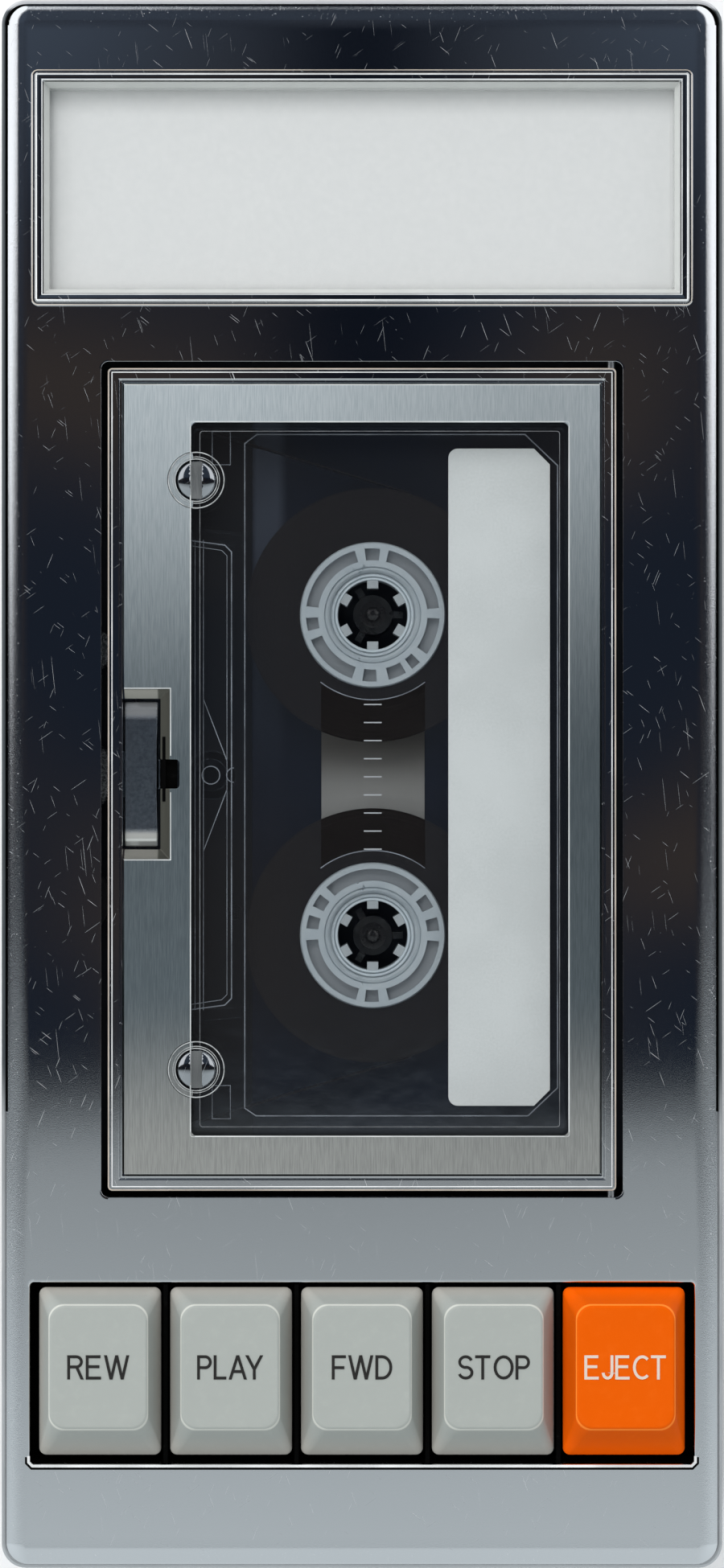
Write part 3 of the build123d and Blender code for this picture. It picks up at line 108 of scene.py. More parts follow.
class Finish(Graph):
    """A material with one surface shader, whose coordinates are the part's own millimetres."""

    def __init__(self, name, **constants):
        self.material = bpy.data.materials.new(name)
        self.material.use_nodes = True
        super().__init__(self.material.node_tree)
        self.surface = next(n for n in self.tree.nodes if n.type == "BSDF_PRINCIPLED")
        for key, value in constants.items():
            socket = self.surface.inputs[key.replace("_", " ")]
            socket.default_value = (*value, 1.0) if socket.type == "RGBA" else value

    def place(self, centre=(0, 0, 0), stretch=(1, 1, 1), turn=0.0):
        """Millimetres on the piece, turned about Z and stretched after the turn."""
        point = self.node("ShaderNodeTexCoord", output="Object")
        moved = self.node("ShaderNodeVectorMath", {"operation": "MULTIPLY_ADD"}, {
            0: point, 1: (1000, 1000, 1000), 2: tuple(-c for c in centre),
        })
        if turn:
            moved = self.node("ShaderNodeVectorRotate", {"rotation_type": "Z_AXIS"}, {
                "Vector": moved, "Angle": math.radians(turn),
            })
        return self.node("ShaderNodeVectorMath", {"operation": "MULTIPLY"}, {0: moved, 1: stretch})

    def noise(self, vector, scale=1.0, detail=2.0, roughness=0.5):
        return self.node("ShaderNodeTexNoise", None, {
            "Vector": vector, "Scale": scale, "Detail": detail, "Roughness": roughness,
        })

    def between(self, value, low, high, start=0.0, end=1.0):
        """value run from low to high, mapped to start and end and held there."""
        return self.node("ShaderNodeMapRange", {"interpolation_type": "SMOOTHSTEP"}, {
            0: value, 1: low, 2: high, 3: start, 4: end,
        })

    def axis(self, vector, name):
        return self.node("ShaderNodeSeparateXYZ", None, {0: vector}, output=name)

    def colours(self, factor, first, second):
        return self.node("ShaderNodeMix", {"data_type": "RGBA"}, {0: factor, 6: first, 7: second}, output=2)

    def give(self, socket, value):
        self.tree.links.new(value.socket, self.surface.inputs[socket])

    def tint(self, factor, first, second):
        """The base colour, run from first to second by factor."""
        self.give("Base Color", self.colours(factor, first, second))

    def bump(self, height, depth):
        """Relief on the surface, with its depth in millimetres."""
        self.give("Normal", self.node("ShaderNodeBump", None, {
            "Strength": 1.0, "Distance": depth * mm, "Height": height,
        }))


def settled(obj, sharp=32):
    """The piece with its modifiers worked into a plain mesh, whose large faces shade flat."""
    for weigh in (False, True):
        if weigh:
            obj.data.polygons.foreach_set("use_smooth", [True] * len(obj.data.polygons))
            obj.data.set_sharp_from_angle(angle=math.radians(sharp))
            obj.modifiers.new("large faces first", "WEIGHTED_NORMAL").keep_sharp = True
        bpy.context.view_layer.update()
        mesh = bpy.data.meshes.new_from_object(obj.evaluated_get(bpy.context.evaluated_depsgraph_get()))
        obj.modifiers.clear()
        obj.data = mesh
    return obj


def piece(name, form, material, sharp=32):
    """A new piece from a mesh drawn in millimetres."""
    bmesh.ops.remove_doubles(form, verts=form.verts, dist=0.0005)
    bmesh.ops.recalc_face_normals(form, faces=form.faces)
    bmesh.ops.scale(form, vec=(mm, mm, mm), verts=form.verts)
    mesh = bpy.data.meshes.new(name)
    form.to_mesh(mesh)
    form.free()
    mesh.materials.append(material)
    body = bpy.data.objects.new(name, mesh)
    bpy.context.scene.collection.objects.link(body)
    return settled(body, sharp)


def bevelled(obj, width, segments=2, angle=None):
    """obj with its edges broken by width: all of them, or those sharper than angle."""
    edges = obj.modifiers.new("edges", "BEVEL")
    edges.width = width * mm
    edges.segments = segments
    if angle:
        edges.limit_method = "ANGLE"
        edges.angle_limit = math.radians(angle)
    return settled(obj)


def softened(node, material, width, segments=2):
    """A copy of a CAD piece with its edges broken by width, as the tool and the hand leave them."""
    form = bmesh.new()
    form.from_mesh(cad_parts[node].data)
    bmesh.ops.scale(form, vec=(1 / mm, 1 / mm, 1 / mm), verts=form.verts)
    bmesh.ops.remove_doubles(form, verts=form.verts, dist=0.0005)
    bmesh.ops.dissolve_limit(form, angle_limit=math.radians(1), verts=form.verts, edges=form.edges)
    body = piece(node + ".finished", form, material)
    bevelled(body, width, segments, 40)
    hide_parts(node)
    return body


def moulded(name, colour, roughness, grain, depth):
    """Moulded plastic: an even colour, a fine spark-eroded grain and a faint handling sheen."""
    finish = Finish(name, Base_Color=colour, Roughness=roughness)
    point = finish.place()
    specks = finish.noise(point, 1 / grain, 3.0)
    wear = finish.noise(point, 0.09, 4.0)
    deep = tuple(0.93 * c for c in colour)
    finish.tint(finish.between(wear, 0.35, 0.7), deep, colour)
    handled = wear + 0.4 * specks
    finish.give("Roughness", finish.between(handled, 0.5, 0.95, roughness + 0.08, roughness - 0.08))
    finish.bump(specks, depth)
    return finish.material


black_back = moulded("moulded back", (0.030, 0.031, 0.033), 0.52, 0.28, 0.03)
rear_cover = softened("rear_cover", black_back, 0.22)
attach(rear_cover, "case")
battery_door = softened("battery_door", black_back, 0.15)
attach(battery_door, "battery_cover")

foot_rubber = moulded("foot rubber", (0.020, 0.020, 0.021), 0.78, 0.16, 0.02)
feet = softened("rubber_feet", foot_rubber, 0.3, 3)
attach(feet, "case")

# Case screws
# Four pan-head screws with a cross recess, deep in the counterbores of the back.
# They are turned in a lathe, zinc plated and driven up into the middle case.


def zinc(name, colour, roughness, brush, metallic=1.0):
    """Plated or turned steel with faint marks along brush, a stretch of the millimetres."""
    finish = Finish(name, Base_Color=colour, Metallic=metallic, Roughness=roughness)
    marks = finish.noise(finish.place(stretch=brush), 1.0, 4.0, 0.6)
    cloud = finish.noise(finish.place(), 0.12, 3.0)
    darker_tone = tuple(0.72 * c for c in colour)
    finish.tint(finish.between(cloud, 0.35, 0.7), darker_tone, colour)
    finish.give("Roughness", finish.between(marks, 0.3, 0.7, roughness - 0.08, roughness + 0.14))
    finish.bump(marks, 0.008)
    return finish.material


def bar(form, x0, x1, y0, y1, z0, z1):
    """A closed block between two corners."""
    size = Matrix.Diagonal((x1 - x0, y1 - y0, z1 - z0, 1))
    place = Matrix.Translation(((x0 + x1) / 2, (y0 + y1) / 2, (z0 + z1) / 2))
    bmesh.ops.create_cube(form, size=1.0, matrix=place @ size)


def turned(form, profile, centre, steps=64):
    """A solid of revolution about an upright axis, from points of (radius, z)."""
    rings = []
    for radius, z in profile:
        if radius == 0:
            rings.append([form.verts.new((*centre, z))])
            continue
        ring = []
        for step in range(steps):
            angle = 2 * math.pi * step / steps
            ring.append(form.verts.new((
                centre[0] + radius * math.cos(angle), centre[1] + radius * math.sin(angle), z,
            )))
        rings.append(ring)
    for low, high in zip(rings, rings[1:]):
        for step in range(steps):
            pair = (step, (step + 1) % steps)
            corners = [low[n % len(low)] for n in pair] + [high[n % len(high)] for n in reversed(pair)]
            form.faces.new(list(dict.fromkeys(corners)))


def carved(body, cutter, sharp=32):
    """body with cutter's shape taken out of it."""
    cut = body.modifiers.new("cut", "BOOLEAN")
    cut.operation = "DIFFERENCE"
    cut.solver = "EXACT"
    cut.object = cutter
    settled(body, sharp)
    bpy.data.objects.remove(cutter)
    return body


def geometry_tree(name, sizes):
    """An empty geometry tree with named inputs, and the terms that carry them."""
    tree = bpy.data.node_groups.new(name, "GeometryNodeTree")
    tree.interface.new_socket(name="Geometry", in_out="OUTPUT", socket_type="NodeSocketGeometry")
    tree.interface.new_socket(name="Geometry", in_out="INPUT", socket_type="NodeSocketGeometry")
    for label, value in sizes.items():
        kind = "NodeSocketInt" if isinstance(value, int) else "NodeSocketFloat"
        tree.interface.new_socket(name=label, in_out="INPUT", socket_type=kind)
    graph = Graph(tree)
    source = tree.nodes.new("NodeGroupInput")
    terms = {socket.name: Term(graph, socket) for socket in source.outputs if socket.name}
    return graph, terms


def grown(name, graph, result, sizes, material, sharp=32):
    """A piece from a geometry tree: its copies made real, in one material."""
    real = graph.node("GeometryNodeRealizeInstances", None, {0: result})
    done = graph.node("GeometryNodeSetMaterial", None, {"Geometry": real, "Material": material})
    sink = graph.tree.nodes.new("NodeGroupOutput")
    graph.tree.links.new(done.socket, sink.inputs[0])
    body = bpy.data.objects.new(name, bpy.data.meshes.new(name))
    bpy.context.scene.collection.objects.link(body)
    maker = body.modifiers.new("maker", "NODES")
    maker.node_group = graph.tree
    for item in graph.tree.interface.items_tree:
        if item.in_out == "INPUT" and item.name in sizes:
            maker[item.identifier] = sizes[item.name]
    return settled(body, sharp)


def span(node):
    """A CAD piece's box in millimetres: x0, x1, y0, y1, z0, z1."""
    low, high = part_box(node)
    return tuple(value / mm for pair in zip(low, high) for value in pair)


plated_steel = zinc("plated steel", (0.58, 0.59, 0.60), 0.34, (0.4, 6.0, 6.0))
head_radius, head_top = 2.6, 1.6
shank_radius, shank_top = 1.2, 12.6
recess_half, recess_reach, recess_deep = 0.35, 1.4, 0.8
screw_boxes = span("case_screws")
form = bmesh.new()
turned(form, [
    (0, 0), (1.7, 0), (2.3, 0.25), (head_radius, 0.8), (head_radius, head_top), (shank_radius, head_top),
    (shank_radius, shank_top), (0, shank_top),
], (0, 0), 32)
screw = piece("one screw", form, plated_steel)
for across, along in ((recess_half, recess_reach), (recess_reach, recess_half)):
    form = bmesh.new()
    bar(form, -across, across, -along, along, -1, recess_deep)
    screw = carved(screw, piece("recess", form, plated_steel))

sizes = {
    "Across": 2 * (screw_boxes[1] - head_radius) * mm, "Along": 2 * (screw_boxes[3] - head_radius) * mm,
    "Height": screw_boxes[4] * mm,
}
graph, size = geometry_tree("screws at four corners", sizes)
grid = graph.node("GeometryNodeMeshGrid", None, {
    "Size X": size["Across"], "Size Y": size["Along"], "Vertices X": 2, "Vertices Y": 2,
})
one = graph.node("GeometryNodeObjectInfo", None, {"Object": screw}, output="Geometry")
four = graph.node("GeometryNodeInstanceOnPoints", None, {"Points": grid, "Instance": one})
lift = graph.node("ShaderNodeCombineXYZ", None, {2: size["Height"]})
raised = graph.node("GeometryNodeTranslateInstances", None, {0: four, "Translation": lift})
case_screws = grown("case_screws.finished", graph, raised, sizes, plated_steel)
bpy.data.objects.remove(screw)
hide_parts("case_screws")
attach(case_screws, "case")

# Cells and their contacts
# Four round cells in plain printed jackets, between sprung brass plates.
# They show when the battery door slides off.


def dress(material, *nodes):
    """Gives CAD pieces, whose shape stays, their finish."""
    for node in nodes:
        for material_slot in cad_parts[node].material_slots:
            material_slot.material = material


jacket = Finish("cell jacket", Base_Color=(0.05, 0.07, 0.11), Metallic=0.6, Roughness=0.3)
along = jacket.axis(jacket.place(), 0)
band = jacket.between(along, 8.0, 8.2)
scuffs = jacket.noise(jacket.place(), 0.5, 4.0)
jacket.tint(band, (0.035, 0.05, 0.085), (0.62, 0.45, 0.16))
jacket.give("Roughness", jacket.between(scuffs, 0.3, 0.7, 0.22, 0.42))
dress(jacket.material, "batteries")
dress(zinc("spring brass", (0.80, 0.61, 0.30), 0.3, (6.0, 6.0, 0.4)), "battery_contacts", "motor_pulley")

# Circuit board, speaker and aerial
# A green board on the ledges of the case, with the ferrite aerial in two clips above it.
# The speaker lies face down over the slots in the back.

board = Finish("solder mask", Base_Color=(0.03, 0.16, 0.07), Roughness=0.32)
tracks = board.noise(board.place(stretch=(0.25, 2.2, 1.0)), 0.8, 1.0)
board.tint(board.between(tracks, 0.5, 0.53), (0.02, 0.12, 0.05), (0.045, 0.22, 0.09))
board.bump(board.between(tracks, 0.5, 0.53), 0.03)
dress(board.material, "circuit_board")
dress(moulded("speaker basket", (0.10, 0.10, 0.105), 0.42, 0.3, 0.02), "speaker")
dress(moulded("cone paper", (0.035, 0.034, 0.032), 0.9, 0.5, 0.08), "speaker_cone")

ferrite = Finish("ferrite and coil", Base_Color=(0.05, 0.045, 0.04), Roughness=0.55)
aerial_point = ferrite.place()
aerial = span("antenna_rod")
aerial_mid = (aerial[0] + aerial[1]) / 2
wound = ferrite.between(abs(ferrite.axis(aerial_point, 0) - aerial_mid), 15.4, 15.5, 1.0, 0.0)
turns = ferrite.node("ShaderNodeMath", {"operation": "SINE"}, {0: ferrite.axis(aerial_point, 0) * 18.0})
ferrite.tint(wound, (0.045, 0.04, 0.038), (0.42, 0.14, 0.05))
ferrite.give("Metallic", wound * 0.8)
ferrite.bump(turns * wound, 0.08)
dress(ferrite.material, "antenna_rod")
black_plastic = moulded("black plastic", (0.016, 0.016, 0.017), 0.42, 0.35, 0.015)
dress(black_plastic, "antenna_holder", "volume_control", "tuning_capacitor")
jack = softened("earphone_jack", black_plastic, 0.15)
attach(jack, "case")

# Volume and tuning wheels
# Two flat black thumbwheels that stand half a millimetre proud in scoops of the right side.
# Their rims are cut into even grips, and each hub turns a control on the board.


def block_ring(name, count, radius, deep, wide, high, material):
    """A ring of upright blocks about the origin, each turned to face outwards."""
    sizes = {"Count": count, "Radius": radius * mm, "Deep": deep * mm, "Wide": wide * mm, "High": high * mm}
    graph, size = geometry_tree(name, sizes)
    circle = graph.node("GeometryNodeMeshCircle", None, {"Vertices": size["Count"], "Radius": size["Radius"]})
    box = graph.node("ShaderNodeCombineXYZ", None, {0: size["Deep"], 1: size["Wide"], 2: size["High"]})
    block = graph.node("GeometryNodeMeshCube", None, {"Size": box})
    number = graph.node("GeometryNodeInputIndex")
    spin = graph.node("ShaderNodeCombineXYZ", None, {2: number * (2 * math.pi) / size["Count"]})
    ring = graph.node("GeometryNodeInstanceOnPoints", None, {
        "Points": circle, "Instance": block, "Rotation": spin,
    })
    return grown(name, graph, ring, sizes, material)


wheel_height = 4.0
grip_depth = 0.35
for knob in ("volume", "tuning"):
    x0, x1, y0, y1, z0, z1 = span(knob + "_wheel")
    radius = (y1 - y0) / 2
    centre = (x1 - radius, (y0 + y1) / 2)
    shaft_top = z1 - wheel_height
    rim = radius - grip_depth
    grips = block_ring(knob + "_grips", 36, rim, 2 * grip_depth, 0.9, wheel_height, black_plastic)
    form = bmesh.new()
    form.from_mesh(grips.data)
    bmesh.ops.scale(form, vec=(1 / mm, 1 / mm, 1 / mm), verts=form.verts)
    bmesh.ops.translate(form, vec=(*centre, z1 - wheel_height / 2), verts=form.verts)
    bpy.data.objects.remove(grips)
    turned(form, [
        (0, z1 - 0.3), (rim - 1.6, z1 - 0.3), (rim - 1.4, z1), (rim - 0.4, z1), (rim, z1 - 0.4),
        (rim, shaft_top + 0.4), (rim - 0.4, shaft_top), (2.0, shaft_top), (2.0, z0), (0, z0),
    ], centre, 96)
    wheel = piece(knob + "_wheel.finished", form, black_plastic)
    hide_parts(knob + "_wheel")
    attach(wheel, knob + "_knob")

# Middle case
# The satin grey frame between the back and the polished front, cast and painted.
# Its rim shows as a thin band round the front cover.

satin = Finish("satin case", Base_Color=(0.60, 0.61, 0.62), Metallic=0.9, Roughness=0.4)
satin_point = satin.place()
satin_specks = satin.noise(satin_point, 4.0, 3.0)
satin_cloud = satin.noise(satin_point, 0.08, 4.0)
satin_paint = satin.colours(satin.between(satin_cloud, 0.35, 0.7), (0.60, 0.61, 0.62), (0.66, 0.67, 0.68))
rim = satin.between(satin.axis(satin_point, 2), 36.2, 36.8)
far = satin.axis(satin_point, 1)
# Painted reflection: the rim's sides are painted dark from y -36 up to the top band, where the band mirrors
# the dark room.
painted_dark_rim = rim * satin.between(far, -46.0, -36.0) * satin.between(far, 101.6, 102.4, 1.0, 0.0)
satin_paint = satin.colours(painted_dark_rim, satin_paint, (0.145, 0.16, 0.17))
satin.tint(rim * satin.between(far, 101.6, 102.4), satin_paint, (0.56, 0.57, 0.585))
satin.give("Metallic", 0.9 - 0.5 * (rim * satin.between(far, 101.6, 102.4)))
satin.give("Roughness", satin.between(satin_cloud, 0.3, 0.7, 0.34, 0.46))
satin.bump(satin_specks, 0.012)
middle_case = softened("middle_case", satin.material, 0.25, 3)
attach(middle_case, "case")

# Deck and drive
# A steel deck with the motor, flywheel, belt, idler and spindles under it.
# It is dark under the cassette, where only the spindle tips and the deck itself show.

deck_black = moulded("painted deck", (0.015, 0.018, 0.025), 0.5, 0.5, 0.01)
dress(deck_black, "deck_plate")
dress(plated_steel, "head_plate", "pinch_arm", "key_shaft", "key_return_comb", "hinge_pins", "motor")
turned_metal = zinc("turned metal", (0.72, 0.72, 0.71), 0.22, (3.0, 3.0, 0.5))
dress(turned_metal, "capstan_flywheel", "playback_head", "erase_head")
dress(foot_rubber, "pinch_roller", "drive_belt")
spindle_black = moulded("spindle plastic", (0.0035, 0.0035, 0.004), 0.3, 0.4, 0.01)
dress(spindle_black, "spindle_supply", "spindle_takeup", "idler_wheel")
tip_dark = moulded("spindle tip", (0.005, 0.005, 0.0055), 0.25, 0.4, 0.01)
for reel in ("supply", "takeup"):
    x0, x1, y0, y1, z0, z1 = span("spindle_" + reel)
    form = bmesh.new()
    turned(form, [
        (0, z1 - 0.05), (1.75, z1 - 0.05), (1.75, z1 + 0.04), (1.55, z1 + 0.06), (1.0, z1 + 0.06),
        (0.95, z1 + 0.02), (0.85, z1 + 0.2), (0.5, z1 + 0.45), (0, z1 + 0.55),
    ], ((x0 + x1) / 2, (y0 + y1) / 2), 48)
    tip = piece("spindle_tip_" + reel, form, tip_dark)
    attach(tip, reel + "_reel")

# Key tray
# The black moulding behind the keys, with a rib between each pair.

tray_black = Finish("key tray", Base_Color=(0.002, 0.002, 0.002), Roughness=0.9, Specular_IOR_Level=0.04)
tray_dust = tray_black.noise(tray_black.place(), 1.5, 4.0)
tray_black.tint(tray_black.between(tray_dust, 0.6, 0.8), (0.0015, 0.0015, 0.0015), (0.005, 0.005, 0.005))
tray_black.bump(tray_dust, 0.01)
tray = softened("key_frame", tray_black.material, 0.1)
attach(tray, "case")

# Cassette
# A clear shell in two halves, screwed together round two white hubs with their tape.
# A dark slip sheet lies under the packs, with a pale patch behind the window between them.

shell_x0, shell_x1, shell_y0, shell_y1, _, thick_top = span("cassette_shell_upper")
thin_top = span("cassette_label")[4]
hub_box = span("hub_supply")
hub_x = (hub_box[0] + hub_box[1]) / 2
supply_y = (hub_box[2] + hub_box[3]) / 2
takeup_box = span("hub_takeup")
takeup_y = (takeup_box[2] + takeup_box[3]) / 2
middle_y = (supply_y + takeup_y) / 2
window_x0 = hub_x - 6.85
window_x1 = hub_x + 6.95
window_arc = 11.3


def clear(name, tint, haze, roughness, metallic=1.0):
    """Clear plastic: it mirrors by the angle, and haze of its tint covers a small share."""
    finish = Finish(name, Base_Color=tint, Metallic=metallic, Roughness=roughness)
    backface = finish.node("ShaderNodeNewGeometry", output="Backfacing")
    edge = finish.node("ShaderNodeFresnel", None, {"IOR": 1.49 - 0.819 * backface})
    return finish, edge + haze


shell, shell_alpha = clear("smoky shell", (0.61, 0.67, 0.76), 0.042, 0.08, 0.915)
shell_point = shell.place(centre=(hub_x, middle_y, 0))
across = shell.axis(shell_point, 0)
along = abs(shell.axis(shell_point, 1))
half_hubs = (supply_y - takeup_y) / 2
from_hub = shell.node("ShaderNodeMath", {"operation": "SQRT"}, {
    0: across * across + (half_hubs - along) * (half_hubs - along),
})
in_strip = shell.between(across, window_x0 - hub_x, window_x0 - hub_x + 0.05)
in_strip = in_strip * shell.between(across, window_x1 - hub_x - 0.05, window_x1 - hub_x, 1.0, 0.0)
in_strip = in_strip * shell.between(from_hub, window_arc, window_arc + 0.1)
in_strip = in_strip * shell.between(along, half_hubs, half_hubs + 0.1, 1.0, 0.0)
shell.give("Alpha", shell_alpha * (1.0 - 0.85 * in_strip))
shell.bump(shell.noise(shell.place(), 0.35, 3.0), 0.02)
for half in ("upper", "lower"):
    cassette_half = softened("cassette_shell_" + half, shell.material, 0.12)
    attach(cassette_half, "case")

# Lines of the shell
# Low ridges moulded on its face: the frame round the label, the edges of the thick part,
# the rings at the window's ends and the ribs beside the tape edge.


def rib(form, points, width, low, high, closed=False):
    """A square ridge along a line of points, mitred at its corners."""
    count = len(points)
    rings = []
    for index, point in enumerate(points):
        here = Vector(point)
        before = Vector(points[index - 1]) if index or closed else None
        after = Vector(points[(index + 1) % count]) if index < count - 1 or closed else None
        into = (here - before).normalized() if before else (after - here).normalized()
        out = (after - here).normalized() if after else into
        bend = (into + out).normalized()
        side = Vector((-bend.y, bend.x)) * (width / 2) / max(bend.dot(into), 0.3)
        section = ((1, low), (1, high), (-1, high), (-1, low))
        rings.append([form.verts.new((*(here + side * s), z)) for s, z in section])
    pairs = list(zip(rings, rings[1:])) + ([(rings[-1], rings[0])] if closed else [])
    for first, second in pairs:
        for step in range(4):
            form.faces.new([first[step], first[(step + 1) % 4], second[(step + 1) % 4], second[step]])
    if not closed:
        form.faces.new(rings[0])
        form.faces.new(rings[-1])


def arc_points(centre, radius, start, end, steps):
    """Points along an arc, from one angle in degrees to another."""
    angles = [math.radians(start + (end - start) * step / steps) for step in range(steps + 1)]
    return [(centre[0] + radius * math.cos(a), centre[1] + radius * math.sin(a)) for a in angles]


# Painted highlight: the ridges are clear plastic, drawn in a grey, half-clear colour that stands for the
# light on their edges.
rib_clear = Finish("shell ribs", Base_Color=(0.26, 0.29, 0.33), Roughness=0.2, Alpha=0.45)
rib_clear.give("Alpha", rib_clear.between(rib_clear.noise(rib_clear.place(), 0.25, 3.0), 0.3, 0.7, 0.25, 0.6))
sunk = {thin_top: 0.1, thick_top: 0.05}


def ridge(form, points, width, face, height, closed=False):
    """A ridge that stands height above one of the shell's faces, with its foot in the plastic."""
    rib(form, points, width, face - sunk[face], face + height, closed)


def collar(form, centre, radius, width, low, high, steps=64):
    """A closed ring of square section about an upright axis."""
    outer = radius + width
    turned(form, [(radius, low), (outer, low), (outer, high), (radius, high), (radius, low)], centre, steps)


form = bmesh.new()
field_x0, field_x1 = shell_x0 + 17.4, shell_x1 - 5.1
field_y0, field_y1 = shell_y0 + 5.2, shell_y1 - 5.2
ridge(form, [
    (field_x0 + 1.6, field_y1), (field_x1 - 4.3, field_y1), (field_x1, field_y1 - 4.1),
    (field_x1, field_y0 + 3.7), (field_x1 - 3.9, field_y0), (field_x0 + 1.5, field_y0),
    (field_x0, field_y0 + 1.0), (field_x0, field_y1 - 1.2),
], 0.16, thin_top, 0.12, closed=True)
half_window = (window_x1 - window_x0) / 2
half_span = math.degrees(math.asin(half_window / window_arc))
for y, facing in ((supply_y, 270), (takeup_y, 90)):
    end_line = arc_points((hub_x, y), window_arc, facing - half_span, facing + half_span, 24)
    ridge(form, end_line, 0.14, thin_top, 0.08)
thick_part_lines = (
    ([(8.0, 31.2), (14.8, 30.3), (15.7, 29.4)], 0.16, 0.10),
    ([(9.0, 30.4), (14.4, 29.6), (15.1, 28.9)], 0.09, 0.08),
    ([(10.9, 31.0)], 0.08, 0.08),
    ([(11.5, 31.0)], 0.08, 0.08),
    ([(12.0, 31.0)], 0.08, 0.08),
)
for half, width, height in thick_part_lines:
    upper = [(shell_x0 + x, middle_y + y) for x, y in half]
    lower = [(x, 2 * middle_y - y) for x, y in reversed(upper)]
    ridge(form, upper + lower, width, thick_top, height)
pad_x0, pad_x1 = shell_x0 + 13.1, shell_x0 + 15.5
for end in (1, -1):
    slanted = [(shell_x0 + 12.0, middle_y + end * 10.0), (shell_x0 + 15.1, middle_y + end * 1.9)]
    ridge(form, slanted, 0.12, thick_top, 0.08)
    near, far = middle_y + end * 41.0, middle_y + end * 45.4
    pad_frame = [(pad_x0, near), (pad_x1, near), (pad_x1, far), (pad_x0, far)]
    ridge(form, pad_frame, 0.12, thin_top, 0.06, closed=True)
collar(form, (shell_x0 + 12.95, middle_y), 1.1, 0.15, thick_top - 1.0, thick_top - 0.9, 32)
ridge(form, arc_points((shell_x0 + 16.0, middle_y), 0.95, 90, 270, 12), 0.12, thick_top, 0.06)
shell_lines = piece("cassette_ridges", form, rib_clear.material)
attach(shell_lines, "case")

# Slip sheet, window patch and scale
# The dark sheet under the tape, a grey patch that shows between the packs, and
# nine fine white strokes printed on the window, evenly spaced, for the tape that is left.

navy = Finish("slip sheet", Base_Color=(0.0015, 0.002, 0.006), Roughness=0.55, Specular_IOR_Level=0.1)
sheet_cloud = navy.noise(navy.place(), 0.05, 2.0)
# Painted glow: a lighter band on the sheet beside the left edge of the label field, strongest towards +y.
glow = navy.axis(navy.place(centre=(shell_x0 + 20.5, 0, 0)), 0)
glow = navy.between(glow, -2.6, -1.6) * navy.between(glow, 0.8, 2.6, 1.0, 0.0)
glow = glow * navy.between(navy.axis(navy.place(), 1), middle_y - 5.0, middle_y + 40.0)
sheet = navy.colours(sheet_cloud, (0.0016, 0.0036, 0.0090), (0.0030, 0.0052, 0.0130))
navy.tint(glow, sheet, (0.042, 0.053, 0.074))
dress(navy.material, "cassette_liner")

sheet_top = span("cassette_liner")[5]
patch_grey = Finish("window patch", Base_Color=(0.14, 0.15, 0.155), Roughness=0.6)
patch_point = patch_grey.place(centre=(hub_x, middle_y, 0))
# Painted shade: the patch runs from dark at +y, its top, to pale at -y.
lower = patch_grey.between(patch_grey.axis(patch_point, 1), 4.6, -4.6)
patch_grey.tint(lower, (0.064, 0.061, 0.056), (0.200, 0.207, 0.203))
form = bmesh.new()
bar(form, window_x0, window_x1, middle_y - 7.5, middle_y + 7.5, sheet_top, sheet_top + 0.15)
patch = piece("window_patch", form, patch_grey.material)
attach(patch, "case")

stroke_white = Finish("scale print", Base_Color=(0.33, 0.35, 0.37), Roughness=0.5)
pitch = 2.39
sizes = {"Strokes": 9, "Pitch": pitch * mm, "Length": 2.35 * mm, "Width": 0.17 * mm, "Thickness": 0.03 * mm}
graph, size = geometry_tree("tape scale", sizes)
line = graph.node("GeometryNodeMeshLine", None, {
    "Count": size["Strokes"],
    "Start Location": (hub_x * mm, (middle_y + 4 * pitch - 0.22) * mm, (thin_top + 0.03) * mm),
    "Offset": graph.node("ShaderNodeCombineXYZ", None, {1: size["Pitch"] * -1.0}),
})
stroke_box = graph.node("ShaderNodeCombineXYZ", None, {
    0: size["Length"], 1: size["Width"], 2: size["Thickness"],
})
stroke = graph.node("GeometryNodeMeshCube", None, {"Size": stroke_box})
strokes = graph.node("GeometryNodeInstanceOnPoints", None, {"Points": line, "Instance": stroke})
scale_marks = grown("window_scale", graph, strokes, sizes, stroke_white.material)
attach(scale_marks, "case")

# Label
# A blank strip of pale paper, stuck in the shell's label field.

paper = Finish("label paper", Base_Color=(0.48, 0.50, 0.50), Roughness=0.75)
paper_point = paper.place()
fibres = paper.noise(paper_point, 3.5, 5.0, 0.7)
stain = paper.noise(paper_point, 0.07, 3.0)
paper.tint(paper.between(fibres + stain, 0.75, 1.25), (0.445, 0.470, 0.468), (0.505, 0.532, 0.530))
paper.bump(fibres, 0.02)
dress(paper.material, "cassette_label")

# Tape
# Two packs of brown-black tape, each a coil of hundreds of turns, and the run between them.

for pack, y in (("tape_supply", supply_y), ("tape_takeup", takeup_y)):
    tape = Finish(pack + " film", Base_Color=(0.005, 0.004, 0.004), Roughness=0.4, Specular_IOR_Level=0.2)
    pack_point = tape.place(centre=(hub_x, y, 0))
    flat = tape.node("ShaderNodeVectorMath", {"operation": "MULTIPLY"}, {0: pack_point, 1: (1, 1, 0)})
    out = tape.node("ShaderNodeVectorMath", {"operation": "LENGTH"}, {0: flat}, output="Value")
    rings = tape.node("ShaderNodeCombineXYZ", None, {0: out * 3.5})
    layers = tape.noise(rings, 1.0, 5.0, 0.7)
    tape.tint(tape.between(layers, 0.3, 0.7), (0.0042, 0.0032, 0.0028), (0.0092, 0.0072, 0.0062))
    tape.give("Roughness", tape.between(layers, 0.3, 0.7, 0.32, 0.5))
    tape.bump(layers, 0.03)
    dress(tape.material, pack)
dress(tape.material, "tape_run")
dress(moulded("felt pad", (0.30, 0.25, 0.18), 0.95, 0.25, 0.1), "pressure_pad")

# Hubs
# A pale moulded ring for each pack, with six driving teeth and a row of shallow pockets.
# The same ring carries the end of the tape in a slit at its rim.

